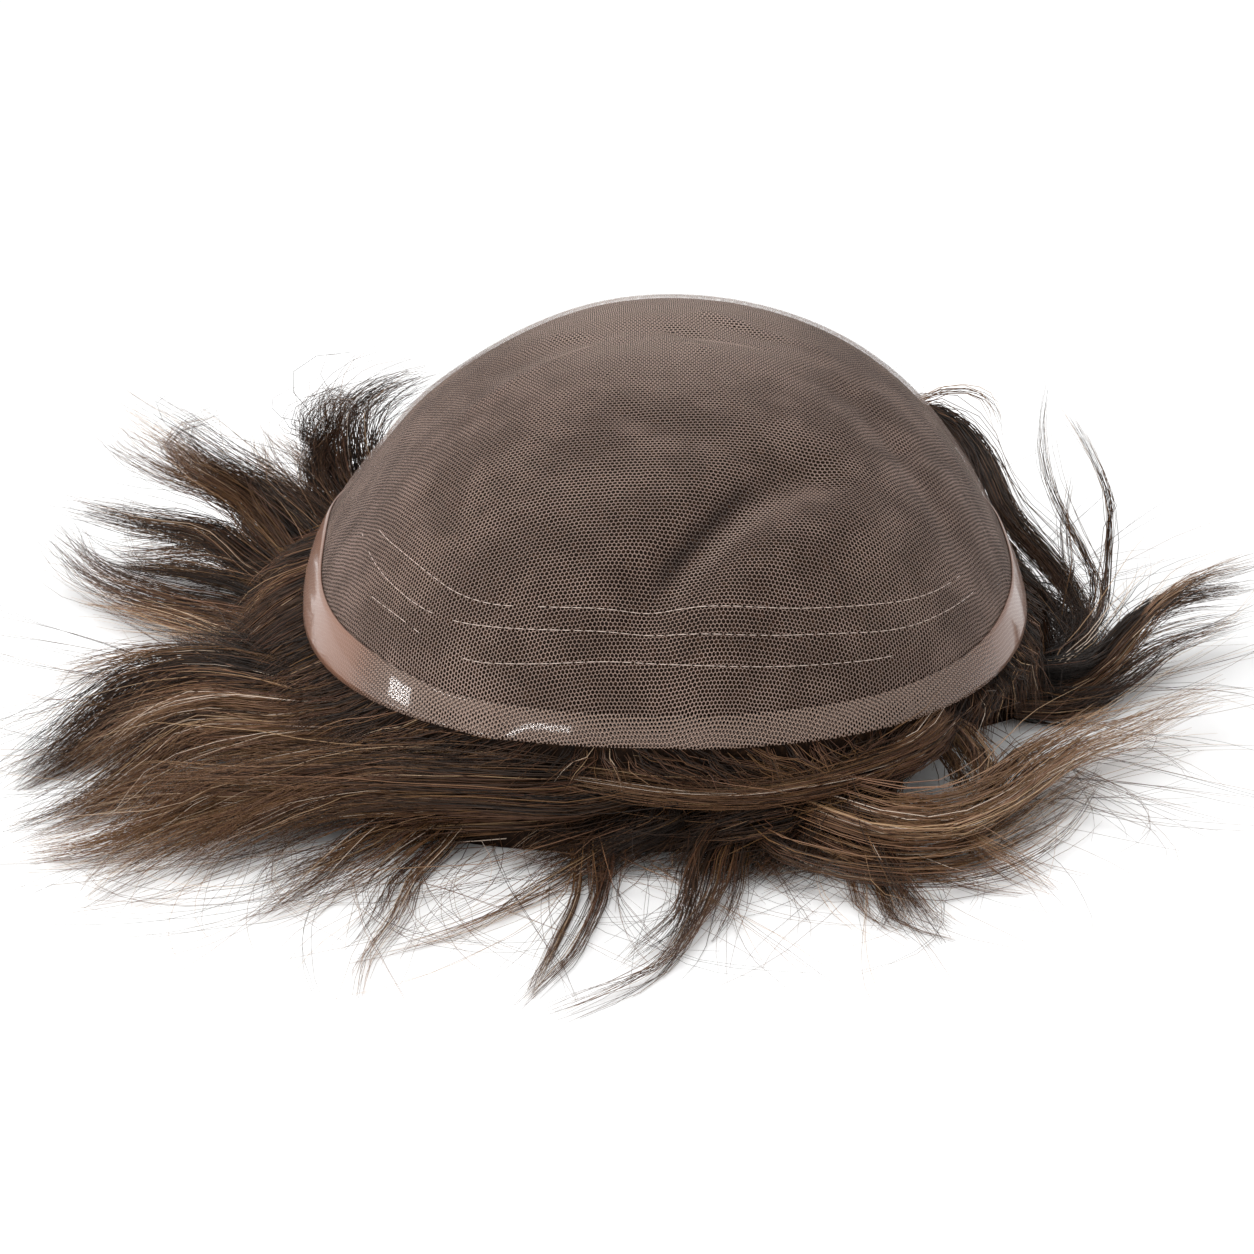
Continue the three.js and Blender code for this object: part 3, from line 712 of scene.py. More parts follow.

# Locks: width in millimetres, strands, tone from 0 dark to 1 pale and below 0 for painted shade in the darkest
# hollows, then the stops of its line from the rim to the tip, each as (degrees round the rim, distance past
# the rim, height). 0 is right and 90 back.
locks = [
    # curls and locks on the left, towards the back
    (11, 320, 0.14, (140, -4, 12), (136, 14, 18), (135, 24, 26), (137, 20, 38), (136, 13, 43), (132, 15, 35)),
    (10, 230, 0.16, (132, -4, 12), (133, 12, 18), (130, 20, 32), (122, 27, 36), (116, 29, 36)),
    (20, 540, 0.24, (158, -4, 12), (146, 18, 15), (144, 33, 20), (147, 42, 25), (148, 52, 29), (147, 64, 33)),
    (13, 340, 0.22, (160, -4, 14), (146, 26, 20), (150, 37, 29), (148, 46, 34), (145, 38, 37)),
    (12, 60, 0.34, (150, -4, 10), (142, 24, 18), (144, 40, 26), (146, 56, 34), (147, 72, 41)),
    (8, 280, 0.10, (168, -4, 10), (156, 18, 10), (149, 39, 13), (148, 59, 12), (148, 84, 13)),
    (7, 180, 0.18, (172, -4, 8), (159, 18, 8), (157, 37, 9), (158, 55, 10)),
    (10, 200, 0.26, (176, -4, 6), (163, 20, 5), (161, 37, 5), (156, 62, 8), (151, 80, 10)),
    (10, 150, 0.40, (180, -4, 6), (173, 14, 6), (167, 34, 5), (162, 56, 5)),
    (6, 100, 0.38, (190, -4, 5), (184, 10, 5), (178, 32, 4), (181, 52, 2)),
    (28, 420, 0.04, (204, -4, 13), (196, 7, 13), (187, 18, 11), (179, 28, 8)),
    # fan on the left, towards the front
    (12, 520, 0.12, (214, -4, 12), (208, 6, 13), (198, 20, 11), (196, 32, 8), (202, 45, 4), (208, 60, 2)),
    (15, 420, 0.44, (222, -4, 14), (214, 6, 12), (205, 22, 10), (203, 38, 6), (208, 50, 3)),
    (13, 460, 0.32, (228, -4, 12), (218, 8, 10), (211, 27, 8), (213, 37, 5), (216, 49, 3), (217, 64, 2)),
    (16, 440, 0.42, (238, -4, 10), (228, 6, 8), (223, 28, 6), (224, 44, 4), (223, 57, 2), (221, 66, 1)),
    (13, 170, 0.38, (246, -4, 8), (233, 6, 6), (228, 36, 4), (229, 58, 2), (231, 72, 1)),
    (14, 440, 0.38, (250, -4, 10), (240, 2, 9), (228, 20, 8), (219, 36, 5), (216, 54, 3)),
    (15, 330, 0.30, (268, -3, 12), (258, -1, 11), (250, 2, 11), (241, 9, 10), (234, 20, 8), (232, 36, 5),
     (231, 50, 3)),
    (16, 380, 0.14, (262, -3, 13), (252, 0, 13), (243, 3, 12), (234, 8, 10), (226, 20, 8), (221, 34, 6)),
    (9, 80, 0.30, (262, -6, 6), (255, -4, 5), (248, 1, 4), (241, 9, 3), (238, 23, 2), (238, 46, 1)),
    (16, 60, 0.40, (256, -4, 4), (252, 2, 3), (251, 12, 2), (250, 24, 1), (251, 38, 1), (251, 58, 0.7),
     (252, 70, 0.7)),
    (22, 45, 0.40, (248, -4, 4), (244, 8, 3), (244, 24, 1.5), (243, 40, 1), (242, 58, 0.7)),
    (20, 40, 0.40, (240, -4, 4), (238, 16, 3), (238, 34, 1.5), (239, 52, 1), (238, 64, 0.7)),
    # narrow locks over the floor in front
    (5, 60, 0.26, (258, -4, 8), (260, -1, 6), (262, 6, 4), (263, 24, 2), (262, 43, 1), (261, 60, 1),
     (261, 70, 0.7)),
    (5, 40, 0.28, (262, -4, 7), (263, 0, 5), (264, 16, 3), (264, 30, 1)),
    (10, 30, 0.34, (266, -4, 5), (262, 6, 3), (256, 31, 1), (253, 44, 0.7), (249, 58, 0.7)),
    (5, 40, 0.32, (267, -3, 5), (263, 3, 4), (258, 9, 3), (254, 12, 1)),
    (5, 60, 0.28, (283, -4, 6), (278, 2, 5), (274, 12, 4.5), (272, 24, 4), (271, 38, 2), (268, 56, 1)),
    (6, 34, 0.28, (283, -4, 6), (276, 8, 5), (273, 30, 3), (269, 54, 1), (263, 73, 0.8)),
    (5, 40, 0.32, (286, -4, 8), (279, 4, 6), (275, 24, 3), (271, 43, 1)),
    # swirl under the front rim, and the dense hair below it, its very dark tones partly the hair's own colour
    # and partly painted shade under the rim
    (9, 230, 0.28, (306, -3, 17), (297, 0, 15), (288, 1.5, 13), (279, 1.5, 11.5), (270, 1, 12), (262, 0, 13.5),
     (254, -2, 15)),
    (11, 260, 0.06, (296, -4, 14), (293, -2, 12), (289, 1, 8), (283, 11, 4)),
    (8, 260, 0.08, (296, -4, 14), (293, 0, 12), (290, 7, 8), (290, 14, 4), (291, 24, 3)),
    (26, 240, 0.16, (268, -2, 9), (266, 3, 6), (262, 8, 3), (257, 15, 1)),
    (24, 200, 0.18, (279, -2, 9), (278, 3, 6), (275, 9, 3), (271, 17, 1)),
    (20, 300, 0.04, (284, -3, 10), (276, 0, 8), (269, 4, 5), (264, 10, 3)),
    (20, 300, 0.05, (290, -3, 10), (284, 2, 8), (280, 12, 4), (277, 19, 3)),
    (12, 60, 0.34, (292, -3, 6), (289, 10, 4), (288, 26, 2), (288, 38, 1), (288, 50, 0.7)),
    # long lock that sweeps to the right, with the wisps round it
    (11, 110, 0.56, (284, -3, 10), (288, 6, 10), (292, 18, 9), (300, 17, 8), (311, 13, 7), (323, 15, 7),
     (335, 25, 6), (343, 36, 8), (346, 48, 9)),
    (9, 60, 0.52, (290, 9, 9), (294, 15, 9), (301, 16, 8), (310, 12, 8), (321, 13, 8), (332, 21, 7),
     (341, 32, 8), (345, 44, 10)),
    (12, 160, 0.32, (280, -3, 6), (284, 10, 6), (289, 20, 5), (296, 22, 4), (304, 19, 4), (313, 17, 4),
     (325, 18, 3)),
    (5, 70, 0.42, (304, 12, 6), (308, 8, 7), (314, 6, 8), (320, 11, 9), (325, 20, 15)),
    (5, 110, 0.22, (288, -3, 10), (292, -1, 13), (296, 1.5, 17), (300, 1.5, 20), (304, 0.5, 21)),
    (7, 150, 0.34, (305, -3, 18), (307, 0.5, 14), (308, 3.5, 10), (307, 6.5, 7), (303, 9, 5)),
    (6, 110, 0.36, (304, -4, 17), (306, -1, 12), (307, 2, 8), (305, 7, 6)),
    (8, 60, 0.34, (290, -3, 5), (289, 12, 4), (289, 24, 2.5), (289, 36, 1), (291, 47, 0.7)),
    (8, 50, 0.34, (289, -3, 5), (288, 14, 4), (288, 30, 2), (285, 45, 0.7)),
    (16, 80, 0.36, (295, -3, 5), (297, 14, 4), (298, 25, 2), (300, 36, 1), (302, 44, 0.7)),
    # curl that comes round from the back on the right, with its upright wisps
    (5, 460, 0.14, (66, -4, 14), (62, 16, 26), (56, 19, 33), (46, 15, 31), (33, 7, 27), (23, 5, 23),
     (16, 9, 19), (12, 14, 13), (4, 15, 8), (356, 8, 5), (351, 1, 5)),
    (3, 26, 0.24, (358, 6, 5), (8, 16, 8), (16, 22, 14), (17, 18, 22), (20, 13, 32), (24, 12, 42),
     (27, 15, 52)),
    (4, 30, 0.24, (0, 8, 5), (10, 20, 8), (17, 25, 13), (20, 27, 22), (20, 26, 30), (25, 23, 39),
     (28, 18, 48)),
    (3, 14, 0.24, (6, 10, 8), (12, 14, 16), (17, 14, 26), (20, 16, 34)),
    (4, 12, 0.30, (60, 20, 30), (57, 33, 34), (51, 31, 36), (43, 20, 32)),
    (6, 130, 0.22, (340, -3, 5), (346, 8, 5), (349, 15, 9), (353, 21, 14), (4, 33, 14), (11, 55, 12)),
    (8, 90, 0.32, (342, -3, 4), (348, 9, 4), (353, 17, 6), (1, 27, 8), (7, 41, 8), (12, 56, 6)),
    (5, 70, 0.28, (343, -1, 4), (349, 10, 4), (353, 19, 9), (357, 24, 14), (5, 36, 17), (12, 56, 17)),
    (9, 80, 0.30, (338, -3, 4), (344, 8, 3), (354, 18, 4), (2, 28, 4), (6, 36, 3)),
    (8, 12, 0.80, (345, 6, 5), (352, 18, 12), (2, 27, 19), (8, 38, 22)),
    # tone below 0: painted shade in the deep hollow of the curl
    (18, 460, -0.2, (27, 1, 9), (13, 1, 9), (3, 6, 7), (357, 9, 5), (349, 6, 4)),
    (12, 260, 0.10, (352, -4, 6), (347, 0, 4), (346, 8, 3), (351, 14, 3), (356, 18, 4)),
    # tone below 0: painted shade in the deep hollow of the curl
    (18, 340, -0.2, (345, -3, 8), (352, 4, 8), (2, 8, 8), (10, 11, 10)),
    # fan behind
    (28, 300, 0.30, (60, -4, 8), (58, 8, 9), (56, 24, 8), (54, 46, 4)),
    (28, 300, 0.32, (72, -4, 10), (72, 8, 13), (70, 27, 17), (65, 60, 24)),
    (28, 300, 0.32, (84, -4, 7), (84, 8, 10), (86, 27, 12), (90, 63, 5)),
    (28, 300, 0.34, (95, -4, 10), (95, 8, 14), (94, 27, 19), (89, 58, 25)),
    (28, 300, 0.32, (105, -4, 7), (106, 8, 10), (108, 29, 12), (113, 66, 4)),
    (28, 300, 0.34, (116, -4, 10), (116, 8, 13), (115, 27, 17), (109, 60, 19)),
    (26, 280, 0.32, (138, -4, 10), (137, 8, 13), (134, 31, 17), (129, 63, 22)),
    (28, 260, 0.32, (153, -4, 7), (152, 8, 8), (149, 36, 9), (151, 70, 4)),
]

# Short hair that comes out from under the rim: degrees round the rim, turn of its ends, their distance past
# the rim and their height
fringe = [(0, 10, 6, 4), (14, 6, 3, 6), (32, -2, 12, 5), (60, -6, 20, 5), (120, -8, 20, 5),
          (150, -10, 17, 8), (195, -4, 16, 8), (215, -10, 13, 9), (230, -14, 10, 10), (245, -13, 6, 11),
          (254, -9, 3, 12), (262, 4, 2, 12), (272, 8, 2, 11), (286, 3, 2, 12), (296, -5, 1.5, 13),
          (302, -8, 1.5, 14), (313, -4, 0.5, 15), (326, 0, 0.5, 13), (336, 4, 2, 7), (345, 8, 5, 4)]

fringeStyle = {
    "step": 1.4,  # degrees from wisp to wisp
    "strands": 14,
    "spread": ([0, 0.3, 1], [1.3, 1.8, 2.0]),
    "tone": 0.17,
    "toneStray": 0.09,
    "loose": 0.7,
    "thick": 0.85,
}

# Strands: how wisps and single strands stray from their lock. Lengths in millimetres.
strand = {
    "guidePoints": 15,  # of each wisp
    "fewest": 5,  # points of a strand
    "most": 12,
    "pointGap": 7.0,
    "rootRadius": 0.1,
    "tipRadius": 0.02,
    "strandsInWisp": 26,
    "thickness": 8.0,  # of a lock
    "frizz": 3.8,
    "frizzSize": 32.0,  # noise per metre
    "kink": 0.55,
    "kinkSize": 170.0,
    "strays": 14.0,
    "shortest": 0.48,  # share of the wisp's length
    "rootTrim": 0.05,
    "fullWidth": 14,  # of locks that are as loose as the numbers above say
    "leastLoose": 0.15,
    "longest": 1.03,  # shares of a lock's length that its wisps reach
    "shorterBy": 0.23,
    "tipAcross": 0.7,
    "tipOver": 0.6,
    "tipStray": 0.4,
    "sway": 3,
    "toneStray": 0.12,
    "floorGap": 0.35,
    "domeGap": 1.0,
    "seed": 11,
}
lockWidths = ([0, 0.14, 0.4, 0.7, 1], [0.5, 1.3, 1.1, 0.85, 0.3])
wispSpread = ([0, 0.4, 0.8, 1], [1.5, 1.9, 1.7, 1.4])

# Single hairs that lie curved round the locks: from and to degrees round the rim, how many, distance past
# the rim where they start, length, and greatest height of the tip in millimetres
looseHair = [
    (150, 200, 26, 34, 55, 24),
    (200, 226, 26, 36, 50, 8),
    (226, 250, 64, 26, 62, 2),
    (250, 268, 44, 10, 66, 2),
    (268, 300, 44, 14, 52, 2),
    (300, 330, 36, 14, 46, 5),
    (330, 372, 30, 24, 48, 18),
    (12, 60, 18, 22, 42, 30),
    (60, 150, 40, 36, 50, 20),
]

looseStyle = {
    "limit": (148, 170),  # either way from the middle of the floor
    "startHeight": 3,
    "startShare": (0.4, 1.1),
    "headingStray": 0.5,
    "bend": 0.02,
    "bendStep": 0.004,
    "lengthShare": (0.5, 1.15),
    "heightShare": (0.1, 1),
    "together": (1, 1, 2, 3),
    "spread": (0.2, 1.5),
    "tone": 0.3,
    "toneStray": 0.15,
    "loose": 0.5,
    "thick": 0.48,
}

# Sectors of the hair, as (name, first turn, last turn) by where a lock's middle lies
sectors = [
    ("hairRight", -20, 60),
    ("hairBack", 60, 125),
    ("hairBackLeft", 125, 165),
    ("hairLeft", 165, 224),
    ("hairFrontLeft", 224, 262),
    ("hairFront", 262, 300),
    ("hairFrontRight", 300, 340),
]
chance = random.Random(strand["seed"])


# Centripetal curve through points, read at even steps of its length
def curveThrough(stops, count):
    stops = np.asarray(stops, float)
    padded = np.concatenate([[2 * stops[0] - stops[1]], stops, [2 * stops[-1] - stops[-2]]])
    knots = np.concatenate([[0], np.cumsum(np.linalg.norm(np.diff(padded, axis=0), axis=1) ** 0.5)])
    fine = []
    for span in range(1, len(padded) - 2):
        t = np.linspace(knots[span], knots[span + 1], 24, endpoint=False)[:, None]
        k, p = knots[span - 1:span + 3], padded[span - 1:span + 3]

        def between(a, b, low, high):
            return ((high - t) * a + (t - low) * b) / (high - low)

        a = [between(p[i], p[i + 1], k[i], k[i + 1]) for i in range(3)]
        b = [between(a[i], a[i + 1], k[i], k[i + 2]) for i in range(2)]
        fine.append(between(b[0], b[1], k[1], k[2]))
    fine = np.concatenate([*fine, padded[-2:-1]])
    run = np.concatenate([[0], np.cumsum(np.linalg.norm(np.diff(fine, axis=0), axis=1))])
    even = np.linspace(0, run[-1], count)
    return np.stack([np.interp(even, run, fine[:, axis]) for axis in range(3)], 1)


# Directions along, across and over a line
def lineFrame(line):
    forward = np.gradient(line, axis=0)
    forward /= np.linalg.norm(forward, axis=1, keepdims=True)
    side = np.cross([0, 0, 1], forward)
    side /= np.maximum(np.linalg.norm(side, axis=1, keepdims=True), 1e-6)
    return side, np.cross(forward, side)


# Lifts a line off the floor and pushes it out of the lace dome
def keepClear(line, spread):
    angle = np.arctan2(line[:, 1], line[:, 0])
    radius = np.hypot(line[:, 0], line[:, 1])
    rim = rimHeight(angle)
    rise = base["rimClearance"] + base["rise"] - rim
    climb = np.arcsin(np.clip((line[:, 2] + spread - rim) / rise, 0, 1))
    wall = rimRadius(angle) * np.cos(climb) - sideHollow(angle, climb)
    wall = wall - dentDepth(wall * np.cos(angle), wall * np.sin(angle))
    least = wall + strand["domeGap"] + spread
    above = line[:, 2] > rim - 0.5
    radius = np.where(above, np.maximum(radius, least), radius)
    floor = strand["floorGap"] + spread * 0.6
    return np.stack([radius * np.cos(angle), radius * np.sin(angle), np.maximum(line[:, 2], floor)], 1)


wisps = []


def addWisp(line, spread, count, tone, loose=1.0, thick=1.0):
    side, over = lineFrame(line)
    place = keepClear(line, spread)
    middle = place[len(place) // 2]
    wisps.append({
        "turn": math.degrees(math.atan2(middle[1], middle[0])),
        "line": place, "side": side, "over": over, "spread": spread,
        "strands": count, "tone": tone, "loose": loose, "thick": thick,
    })


def lockWisps(width, strands, tone, *stops):
    count = max(2, round(strands / strand["strandsInWisp"]))
    turns = np.radians(np.unwrap([stop[0] for stop in stops], period=360))
    centre = np.concatenate([
        pastRim(turn, out, up)[None] for turn, (_, out, up) in zip(turns, stops)
    ])
    along = np.linspace(0, 1, strand["guidePoints"])
    loose = min(1, strand["leastLoose"] + width / strand["fullWidth"])
    for _ in range(count):
        across, over = chance.uniform(-1, 1), chance.uniform(-1, 1)
        length = strand["longest"] - chance.uniform(0, strand["shorterBy"]) * loose
        line = curveThrough(centre, strand["guidePoints"])
        side, lift = lineFrame(line)
        tipAcross = across * strand["tipAcross"] + chance.gauss(0, strand["tipStray"])
        tipOver = over * strand["tipOver"] + chance.gauss(0, strand["tipStray"])
        broad = np.interp(along, *lockWidths) * width / 2
        sway = chance.gauss(0, strand["sway"] * loose)
        sway = sway * np.sin(along * math.pi * chance.uniform(1, 2.4)) * along
        shift = (across + (tipAcross - across) * along) * broad + sway
        raised = (over + (tipOver - over) * along) * strand["thickness"] / 2 * (1 - 0.5 * along) * loose
        raised *= smoothStep(-0.2, 0.25, along)
        line = line + side * shift[:, None] + lift * raised[:, None]
        reach = curveThrough(line, 80)[:round(80 * length)]
        keep = np.linspace(0, len(reach) - 1, strand["guidePoints"]).round().astype(int)
        spread = np.interp(along, *wispSpread) * chance.uniform(0.55, 1.3) * (0.25 + 0.75 * loose)
        toned = tone + chance.gauss(0, strand["toneStray"])
        addWisp(reach[keep], spread, round(strands / count), toned, loose)


# Short hair out from under the rim, over the skirt of the roots
def fringeWisps():
    style = fringeStyle
    along = np.linspace(0, 1, strand["guidePoints"])
    for degrees in np.arange(0, 360, style["step"]):
        angle = math.radians(degrees + chance.uniform(-1, 1))
        turn, out, up = (
            float(readRound([(row[0], row[field]) for row in fringe], angle)) for field in (1, 2, 3)
        )
        turn = math.radians(turn + chance.gauss(0, 3))
        lowest = float(np.interp(out, (4, 12), (0.6, 0.15)))
        rim = float(rimHeight(angle))
        stops = np.stack([
            pastRim(angle, -1.5, rim - 1.2),
            pastRim(angle + turn * 0.1, 0.4 + 0.1 * out, rim - 3),
            pastRim(angle + turn * 0.5, out * 0.6, up + (rim - up) * 0.45),
            pastRim(angle + turn, out * chance.uniform(0.7, 1.3), up * chance.uniform(lowest, 1.1)),
        ])
        line = curveThrough(stops, strand["guidePoints"])
        spread = np.interp(along, *style["spread"])
        tone = style["tone"] + chance.gauss(0, style["toneStray"])
        addWisp(line, spread, style["strands"], tone, style["loose"], style["thick"])


def looseHairs():
    style, steps = looseStyle, strand["guidePoints"] - 1
    for first, last, count, start, length, height in looseHair:
        for _ in range(count):
            angle = math.radians(chance.uniform(first, last))
            root = pastRim(angle, start * chance.uniform(*style["startShare"]), style["startHeight"])
            heading = angle + chance.gauss(0, style["headingStray"])
            bend = chance.gauss(0, style["bend"])
            step = length * chance.uniform(*style["lengthShare"]) / steps
            rise = (chance.uniform(*style["heightShare"]) * height - style["startHeight"]) / steps
            stops = [root]
            for _ in range(steps):
                stops.append(stops[-1] + [step * math.cos(heading), step * math.sin(heading), rise])
                bend += chance.gauss(0, style["bendStep"])
                heading += bend * step
            line = np.stack(stops)
            if np.all(np.abs(line[:, :2] + baseMiddle[:2]) < style["limit"]):
                spread = np.linspace(*style["spread"], strand["guidePoints"])
                together = chance.choice(style["together"])
                tone = style["tone"] + chance.gauss(0, style["toneStray"])
                addWisp(line, spread, together, tone, style["loose"], style["thick"])


for row in locks:
    lockWisps(*row)
fringeWisps()
looseHairs()
print("wisps laid out:", len(wisps), "strands:", sum(wisp["strands"] for wisp in wisps))


# Duplicates each wisp into strands, strays them, and makes each a thin tapering tube
def strandTree(values):
    look, given = treeWith("hairStrands", values)

    def stored(name, kind):
        return look.node("GeometryNodeInputNamedAttribute", {"data_type": kind}, {"Name": name})

    def vector(operation, *sockets):
        output = "Value" if operation == "LENGTH" else "Vector"
        return look.node("ShaderNodeVectorMath", {"operation": operation}, list(sockets), output)

    def scaled(direction, amount):
        sockets = {0: direction, "Scale": amount}
        return look.node("ShaderNodeVectorMath", {"operation": "SCALE"}, sockets)

    def perStrand(seed, low, high):
        draw = look.node("FunctionNodeRandomValue", {"data_type": "FLOAT"}, {
            2: low, 3: high, "ID": index, "Seed": given["Seed"] + seed,
        })
        return look.node("GeometryNodeFieldOnDomain", {"domain": "CURVE"}, [draw])

    curve = look.node("GeometryNodeMeshToCurve", {}, [given["Geometry"]])
    many = look.node("GeometryNodeDuplicateElements", {"domain": "SPLINE"}, {
        "Geometry": curve, "Amount": stored("strands", "INT"),
    })
    index = look.node("GeometryNodeInputIndex")
    across = perStrand(1, -1.0, 1.0)
    over = perStrand(2, -1.0, 1.0)
    wild = perStrand(3, 0.0, 1.0)
    share = stored("share", "FLOAT")
    spread = stored("spread", "FLOAT")
    side, lift = stored("side", "FLOAT_VECTOR"), stored("over", "FLOAT_VECTOR")
    loose = stored("loose", "FLOAT")
    apart = spread + (wild ** 10) * share * given["Strays"] * loose
    offset = vector("ADD", scaled(side, across * apart), scaled(lift, over * apart))
    position = look.node("GeometryNodeInputPosition")

    # Soft wander of a strand, with the noise's middle taken off
    def wander(size, phase, amount):
        moved = vector("ADD", scaled(position, size), look.node(
            "ShaderNodeCombineXYZ", {}, [phase, phase * 1.7, phase * 0.6]
        ))
        noise = look.node("ShaderNodeTexNoise", {}, {"Vector": moved, "Scale": 1.0, "Detail": 1.0}, "Color")
        return scaled(vector("SUBTRACT", noise, (0.5, 0.5, 0.5)), amount)

    wave = vector(
        "ADD",
        wander(given["Frizz size"], perStrand(4, 0.0, 2.0), given["Frizz"] * loose * (share * 2.4 + 0.2)),
        wander(given["Kink size"], perStrand(8, 0.0, 60.0), given["Kink"] * loose * (share * 1.6 + 0.2)),
    )
    placed = look.node("GeometryNodeSetPosition", {}, {
        "Geometry": many, "Offset": vector("ADD", offset, wave),
    })
    short = perStrand(5, 0.0, 1.0)
    rounded = look.node("GeometryNodeCurveSplineType", {"spline_type": "CATMULL_ROM"}, [placed])
    trimmed = look.node("GeometryNodeTrimCurve", {"mode": "FACTOR"}, {
        "Curve": rounded,
        "Start": perStrand(9, 0.0, 1.0) * given["Root trim"],
        "End": 1 - short * short * loose * (1 - given["Shortest"]),
    })
    run = look.node("GeometryNodeSplineLength", {}, (), "Length")
    wanted = (run / given["Point gap"] + 2.0).maths("MINIMUM", float(strand["most"]))
    kept = look.node("GeometryNodeResampleCurve", {"mode": "COUNT"}, {
        "Curve": trimmed, "Count": wanted.maths("MAXIMUM", float(strand["fewest"])),
    })
    height = look.node("GeometryNodeInputPosition")
    z = look.node("ShaderNodeSeparateXYZ", {}, [height], "Z")
    lowest = z.maths("MAXIMUM", 0.25 * mm)
    flat = look.node("ShaderNodeCombineXYZ", {}, [
        look.node("ShaderNodeSeparateXYZ", {}, [height], "X"),
        look.node("ShaderNodeSeparateXYZ", {}, [height], "Y"),
        lowest,
    ])
    lifted = look.node("GeometryNodeSetPosition", {}, {"Geometry": kept, "Position": flat})
    factor = look.node("GeometryNodeSplineParameter", {}, (), "Factor")
    taper = 1 - factor * factor
    toned = look.node("GeometryNodeStoreNamedAttribute", {"data_type": "FLOAT", "domain": "POINT"}, {
        "Geometry": lifted, "Name": "along", "Value": factor,
    })
    pale = perStrand(6, 0.0, 1.0)
    drawn = stored("tone", "FLOAT") + perStrand(7, -0.2, 0.2) + (pale ** 10) * 0.55
    own = drawn.maths("MAXIMUM", 0.01).maths("MINIMUM", 0.99)
    coloured = look.node("GeometryNodeStoreNamedAttribute", {"data_type": "FLOAT", "domain": "POINT"}, {
        "Geometry": toned, "Name": "tone", "Value": own,
    })
    profile = look.node("GeometryNodeCurvePrimitiveCircle", {"mode": "RADIUS"}, {
        "Resolution": 3, "Radius": 1.0,
    })
    thickRoot = given["Root radius"] * stored("thick", "FLOAT")
    radius = given["Tip radius"] + (thickRoot - given["Tip radius"]) * taper
    tubes = look.node("GeometryNodeCurveToMesh", {}, {
        "Curve": coloured, "Profile Curve": profile, "Scale": radius, "Fill Caps": True,
    })
    place = look.node("ShaderNodeCombineXYZ", {}, [stored("tone", "FLOAT"), stored("along", "FLOAT"), 0.0])
    mapped = look.node("GeometryNodeStoreNamedAttribute", {"data_type": "FLOAT2", "domain": "CORNER"}, {
        "Geometry": tubes, "Name": "OFBake", "Value": place,
    })
    smooth = look.node("GeometryNodeSetShadeSmooth", {}, [mapped])
    endTree(look, smooth, given["Material"])
    return look.tree


hairValues = {
    "Root radius": strand["rootRadius"] * mm, "Tip radius": strand["tipRadius"] * mm,
    "Frizz": strand["frizz"] * mm, "Frizz size": strand["frizzSize"],
    "Kink": strand["kink"] * mm, "Kink size": strand["kinkSize"],
    "Point gap": strand["pointGap"] * mm,
    "Strays": strand["strays"] * mm, "Shortest": strand["shortest"], "Root trim": strand["rootTrim"],
    "Seed": strand["seed"], "Material": hairMaterial(),
}
hairTree = strandTree(hairValues)


def hairSector(name, first, last):
    chosen = [wisp for wisp in wisps if (wisp["turn"] - first) % 360 < last - first]
    size = strand["guidePoints"]
    edges = [
        (row * size + step, row * size + step + 1) for row in range(len(chosen)) for step in range(size - 1)
    ]
    piece = meshPiece(name, np.concatenate([wisp["line"] for wisp in chosen]), [], edges=edges)
    for label in ("side", "over"):
        addValue(piece, label, np.concatenate([wisp[label] for wisp in chosen]), "FLOAT_VECTOR")
    addValue(piece, "spread", np.concatenate([wisp["spread"] for wisp in chosen]) * mm)
    addValue(piece, "share", np.tile(np.linspace(0, 1, size), len(chosen)))
    addValue(piece, "strands", np.repeat([wisp["strands"] for wisp in chosen], size), "INT")
    for label in ("tone", "loose", "thick"):
        addValue(piece, label, np.repeat([float(wisp[label]) for wisp in chosen], size))
    grow(piece, hairTree, hairValues)
    triangles = sum(len(face.vertices) - 2 for face in piece.data.polygons)
    print(name, "has", triangles, "triangles, size", [round(side, 3) for side in piece.dimensions])
    return piece


sectorPieces = [hairSector(*sector) for sector in sectors]
print("hair made")

for piece, node, slot in [
    (lace, "lace_dome", "lace"),
    (stitches, "lace_dome", "lace"),
    (film, "skin_border", "skin"),
    (rootLayer, "hair", "hair"),
    *((piece, "hair", "hair") for piece in sectorPieces),
]:
    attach(piece, "root")
    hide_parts(node)

# Floor and soft studio light
studio = {
    "floorSize": 8.0,
    "floorColour": (0.9, 0.9, 0.9, 1),
    "worldStrength": 0.9,
    "topPower": 9.0,
    "topPlace": (-0.2, 0.2, 1.3),
    "topSize": 1.2,
    "keyPower": 3.6,
    "keyPlace": (-1.1, -0.55, 0.75),
    "keySize": 0.24,
    # small bright panes, each mirrored once in the border's coating
    "panes": [((-1.0, -0.17, 0.08), 2.2, 0.19, 0.17), ((-0.57, -0.80, 0.16), 2.6, 0.7, 0.06)],
}


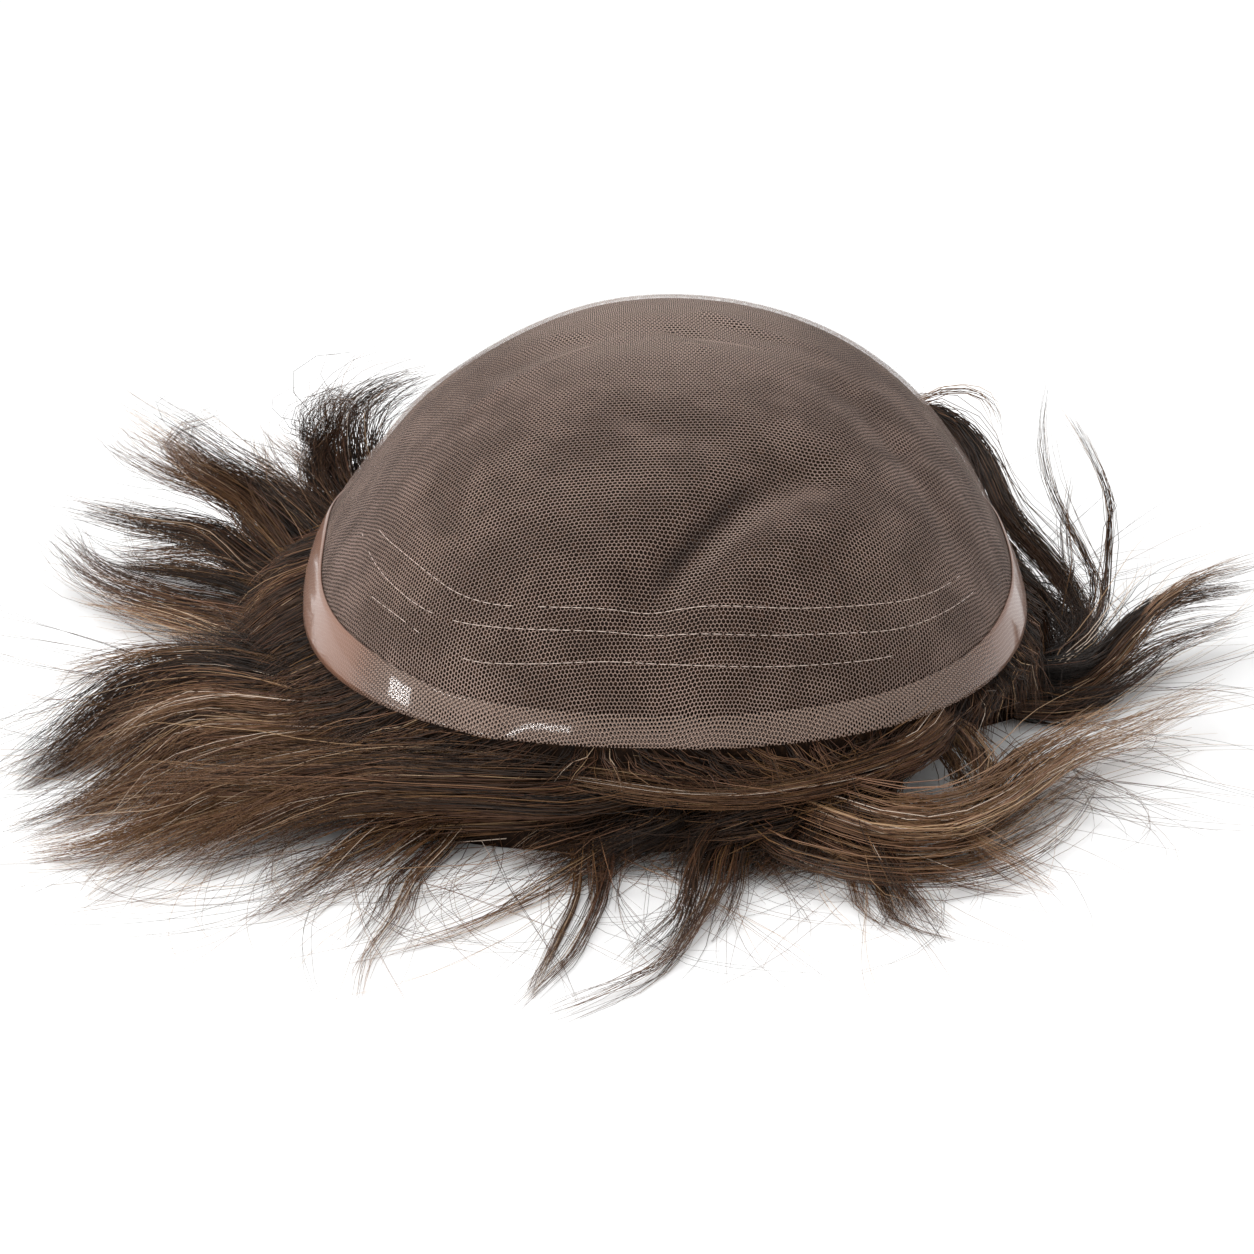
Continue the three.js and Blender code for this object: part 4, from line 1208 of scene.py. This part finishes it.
def areaLight(name, place, power, width, height):
    light = bpy.data.lights.new(name, "AREA")
    light.shape = "RECTANGLE"
    light.energy = power
    light.size, light.size_y = width, height
    lamp = bpy.data.objects.new(name, light)
    lamp.location = place
    lamp.rotation_euler = (Vector((0, 0, 0.03)) - Vector(place)).to_track_quat("-Z", "Y").to_euler()
    bpy.context.collection.objects.link(lamp)


half = studio["floorSize"] / 2
floorMesh = bpy.data.meshes.new("floor")
floorCorners = [(-half, -half, 0), (half, -half, 0), (half, half, 0), (-half, half, 0)]
floorMesh.from_pydata(floorCorners, [], [(0, 1, 2, 3)])
floor = bpy.data.objects.new("floor", floorMesh)
bpy.context.collection.objects.link(floor)
floorMaterial, floorLook, floorShader = newMaterial("whiteFloor", {
    "Base Color": studio["floorColour"], "Roughness": 0.9, "Specular IOR Level": 0.1,
})
floorMesh.materials.append(floorMaterial)

world = bpy.data.worlds.new("softWhite")
world.use_nodes = True
world.node_tree.nodes["Background"].inputs["Color"].default_value = (1, 1, 1, 1)
world.node_tree.nodes["Background"].inputs["Strength"].default_value = studio["worldStrength"]
bpy.context.scene.world = world
areaLight("topLight", studio["topPlace"], studio["topPower"], studio["topSize"], studio["topSize"])
areaLight("keyLight", studio["keyPlace"], studio["keyPower"], studio["keySize"], studio["keySize"])
for pane in studio["panes"]:
    areaLight("pane", *pane)
bpy.context.scene.view_settings.view_transform = "Standard"

# Camera at the photograph's angle, aimed in millimetres from the middle of the base
view = {
    "target": (-7.4, 0, 11.3),
    "distance": 700,
    "elevation": 18.55,
    "lens": 99.04,
}
camera = bpy.data.objects.new("camera", bpy.data.cameras.new("camera"))
camera.data.lens = view["lens"]
camera.data.sensor_width = 36
elevation = math.radians(view["elevation"])
back = np.array([0, -math.cos(elevation), math.sin(elevation)])
camera.location = (np.array(view["target"]) + baseMiddle + back * view["distance"]) * mm
camera.rotation_mode = "QUATERNION"
camera.rotation_quaternion = (-Vector(back)).to_track_quat("-Z", "Y")
bpy.context.collection.objects.link(camera)
bpy.context.scene.camera = camera
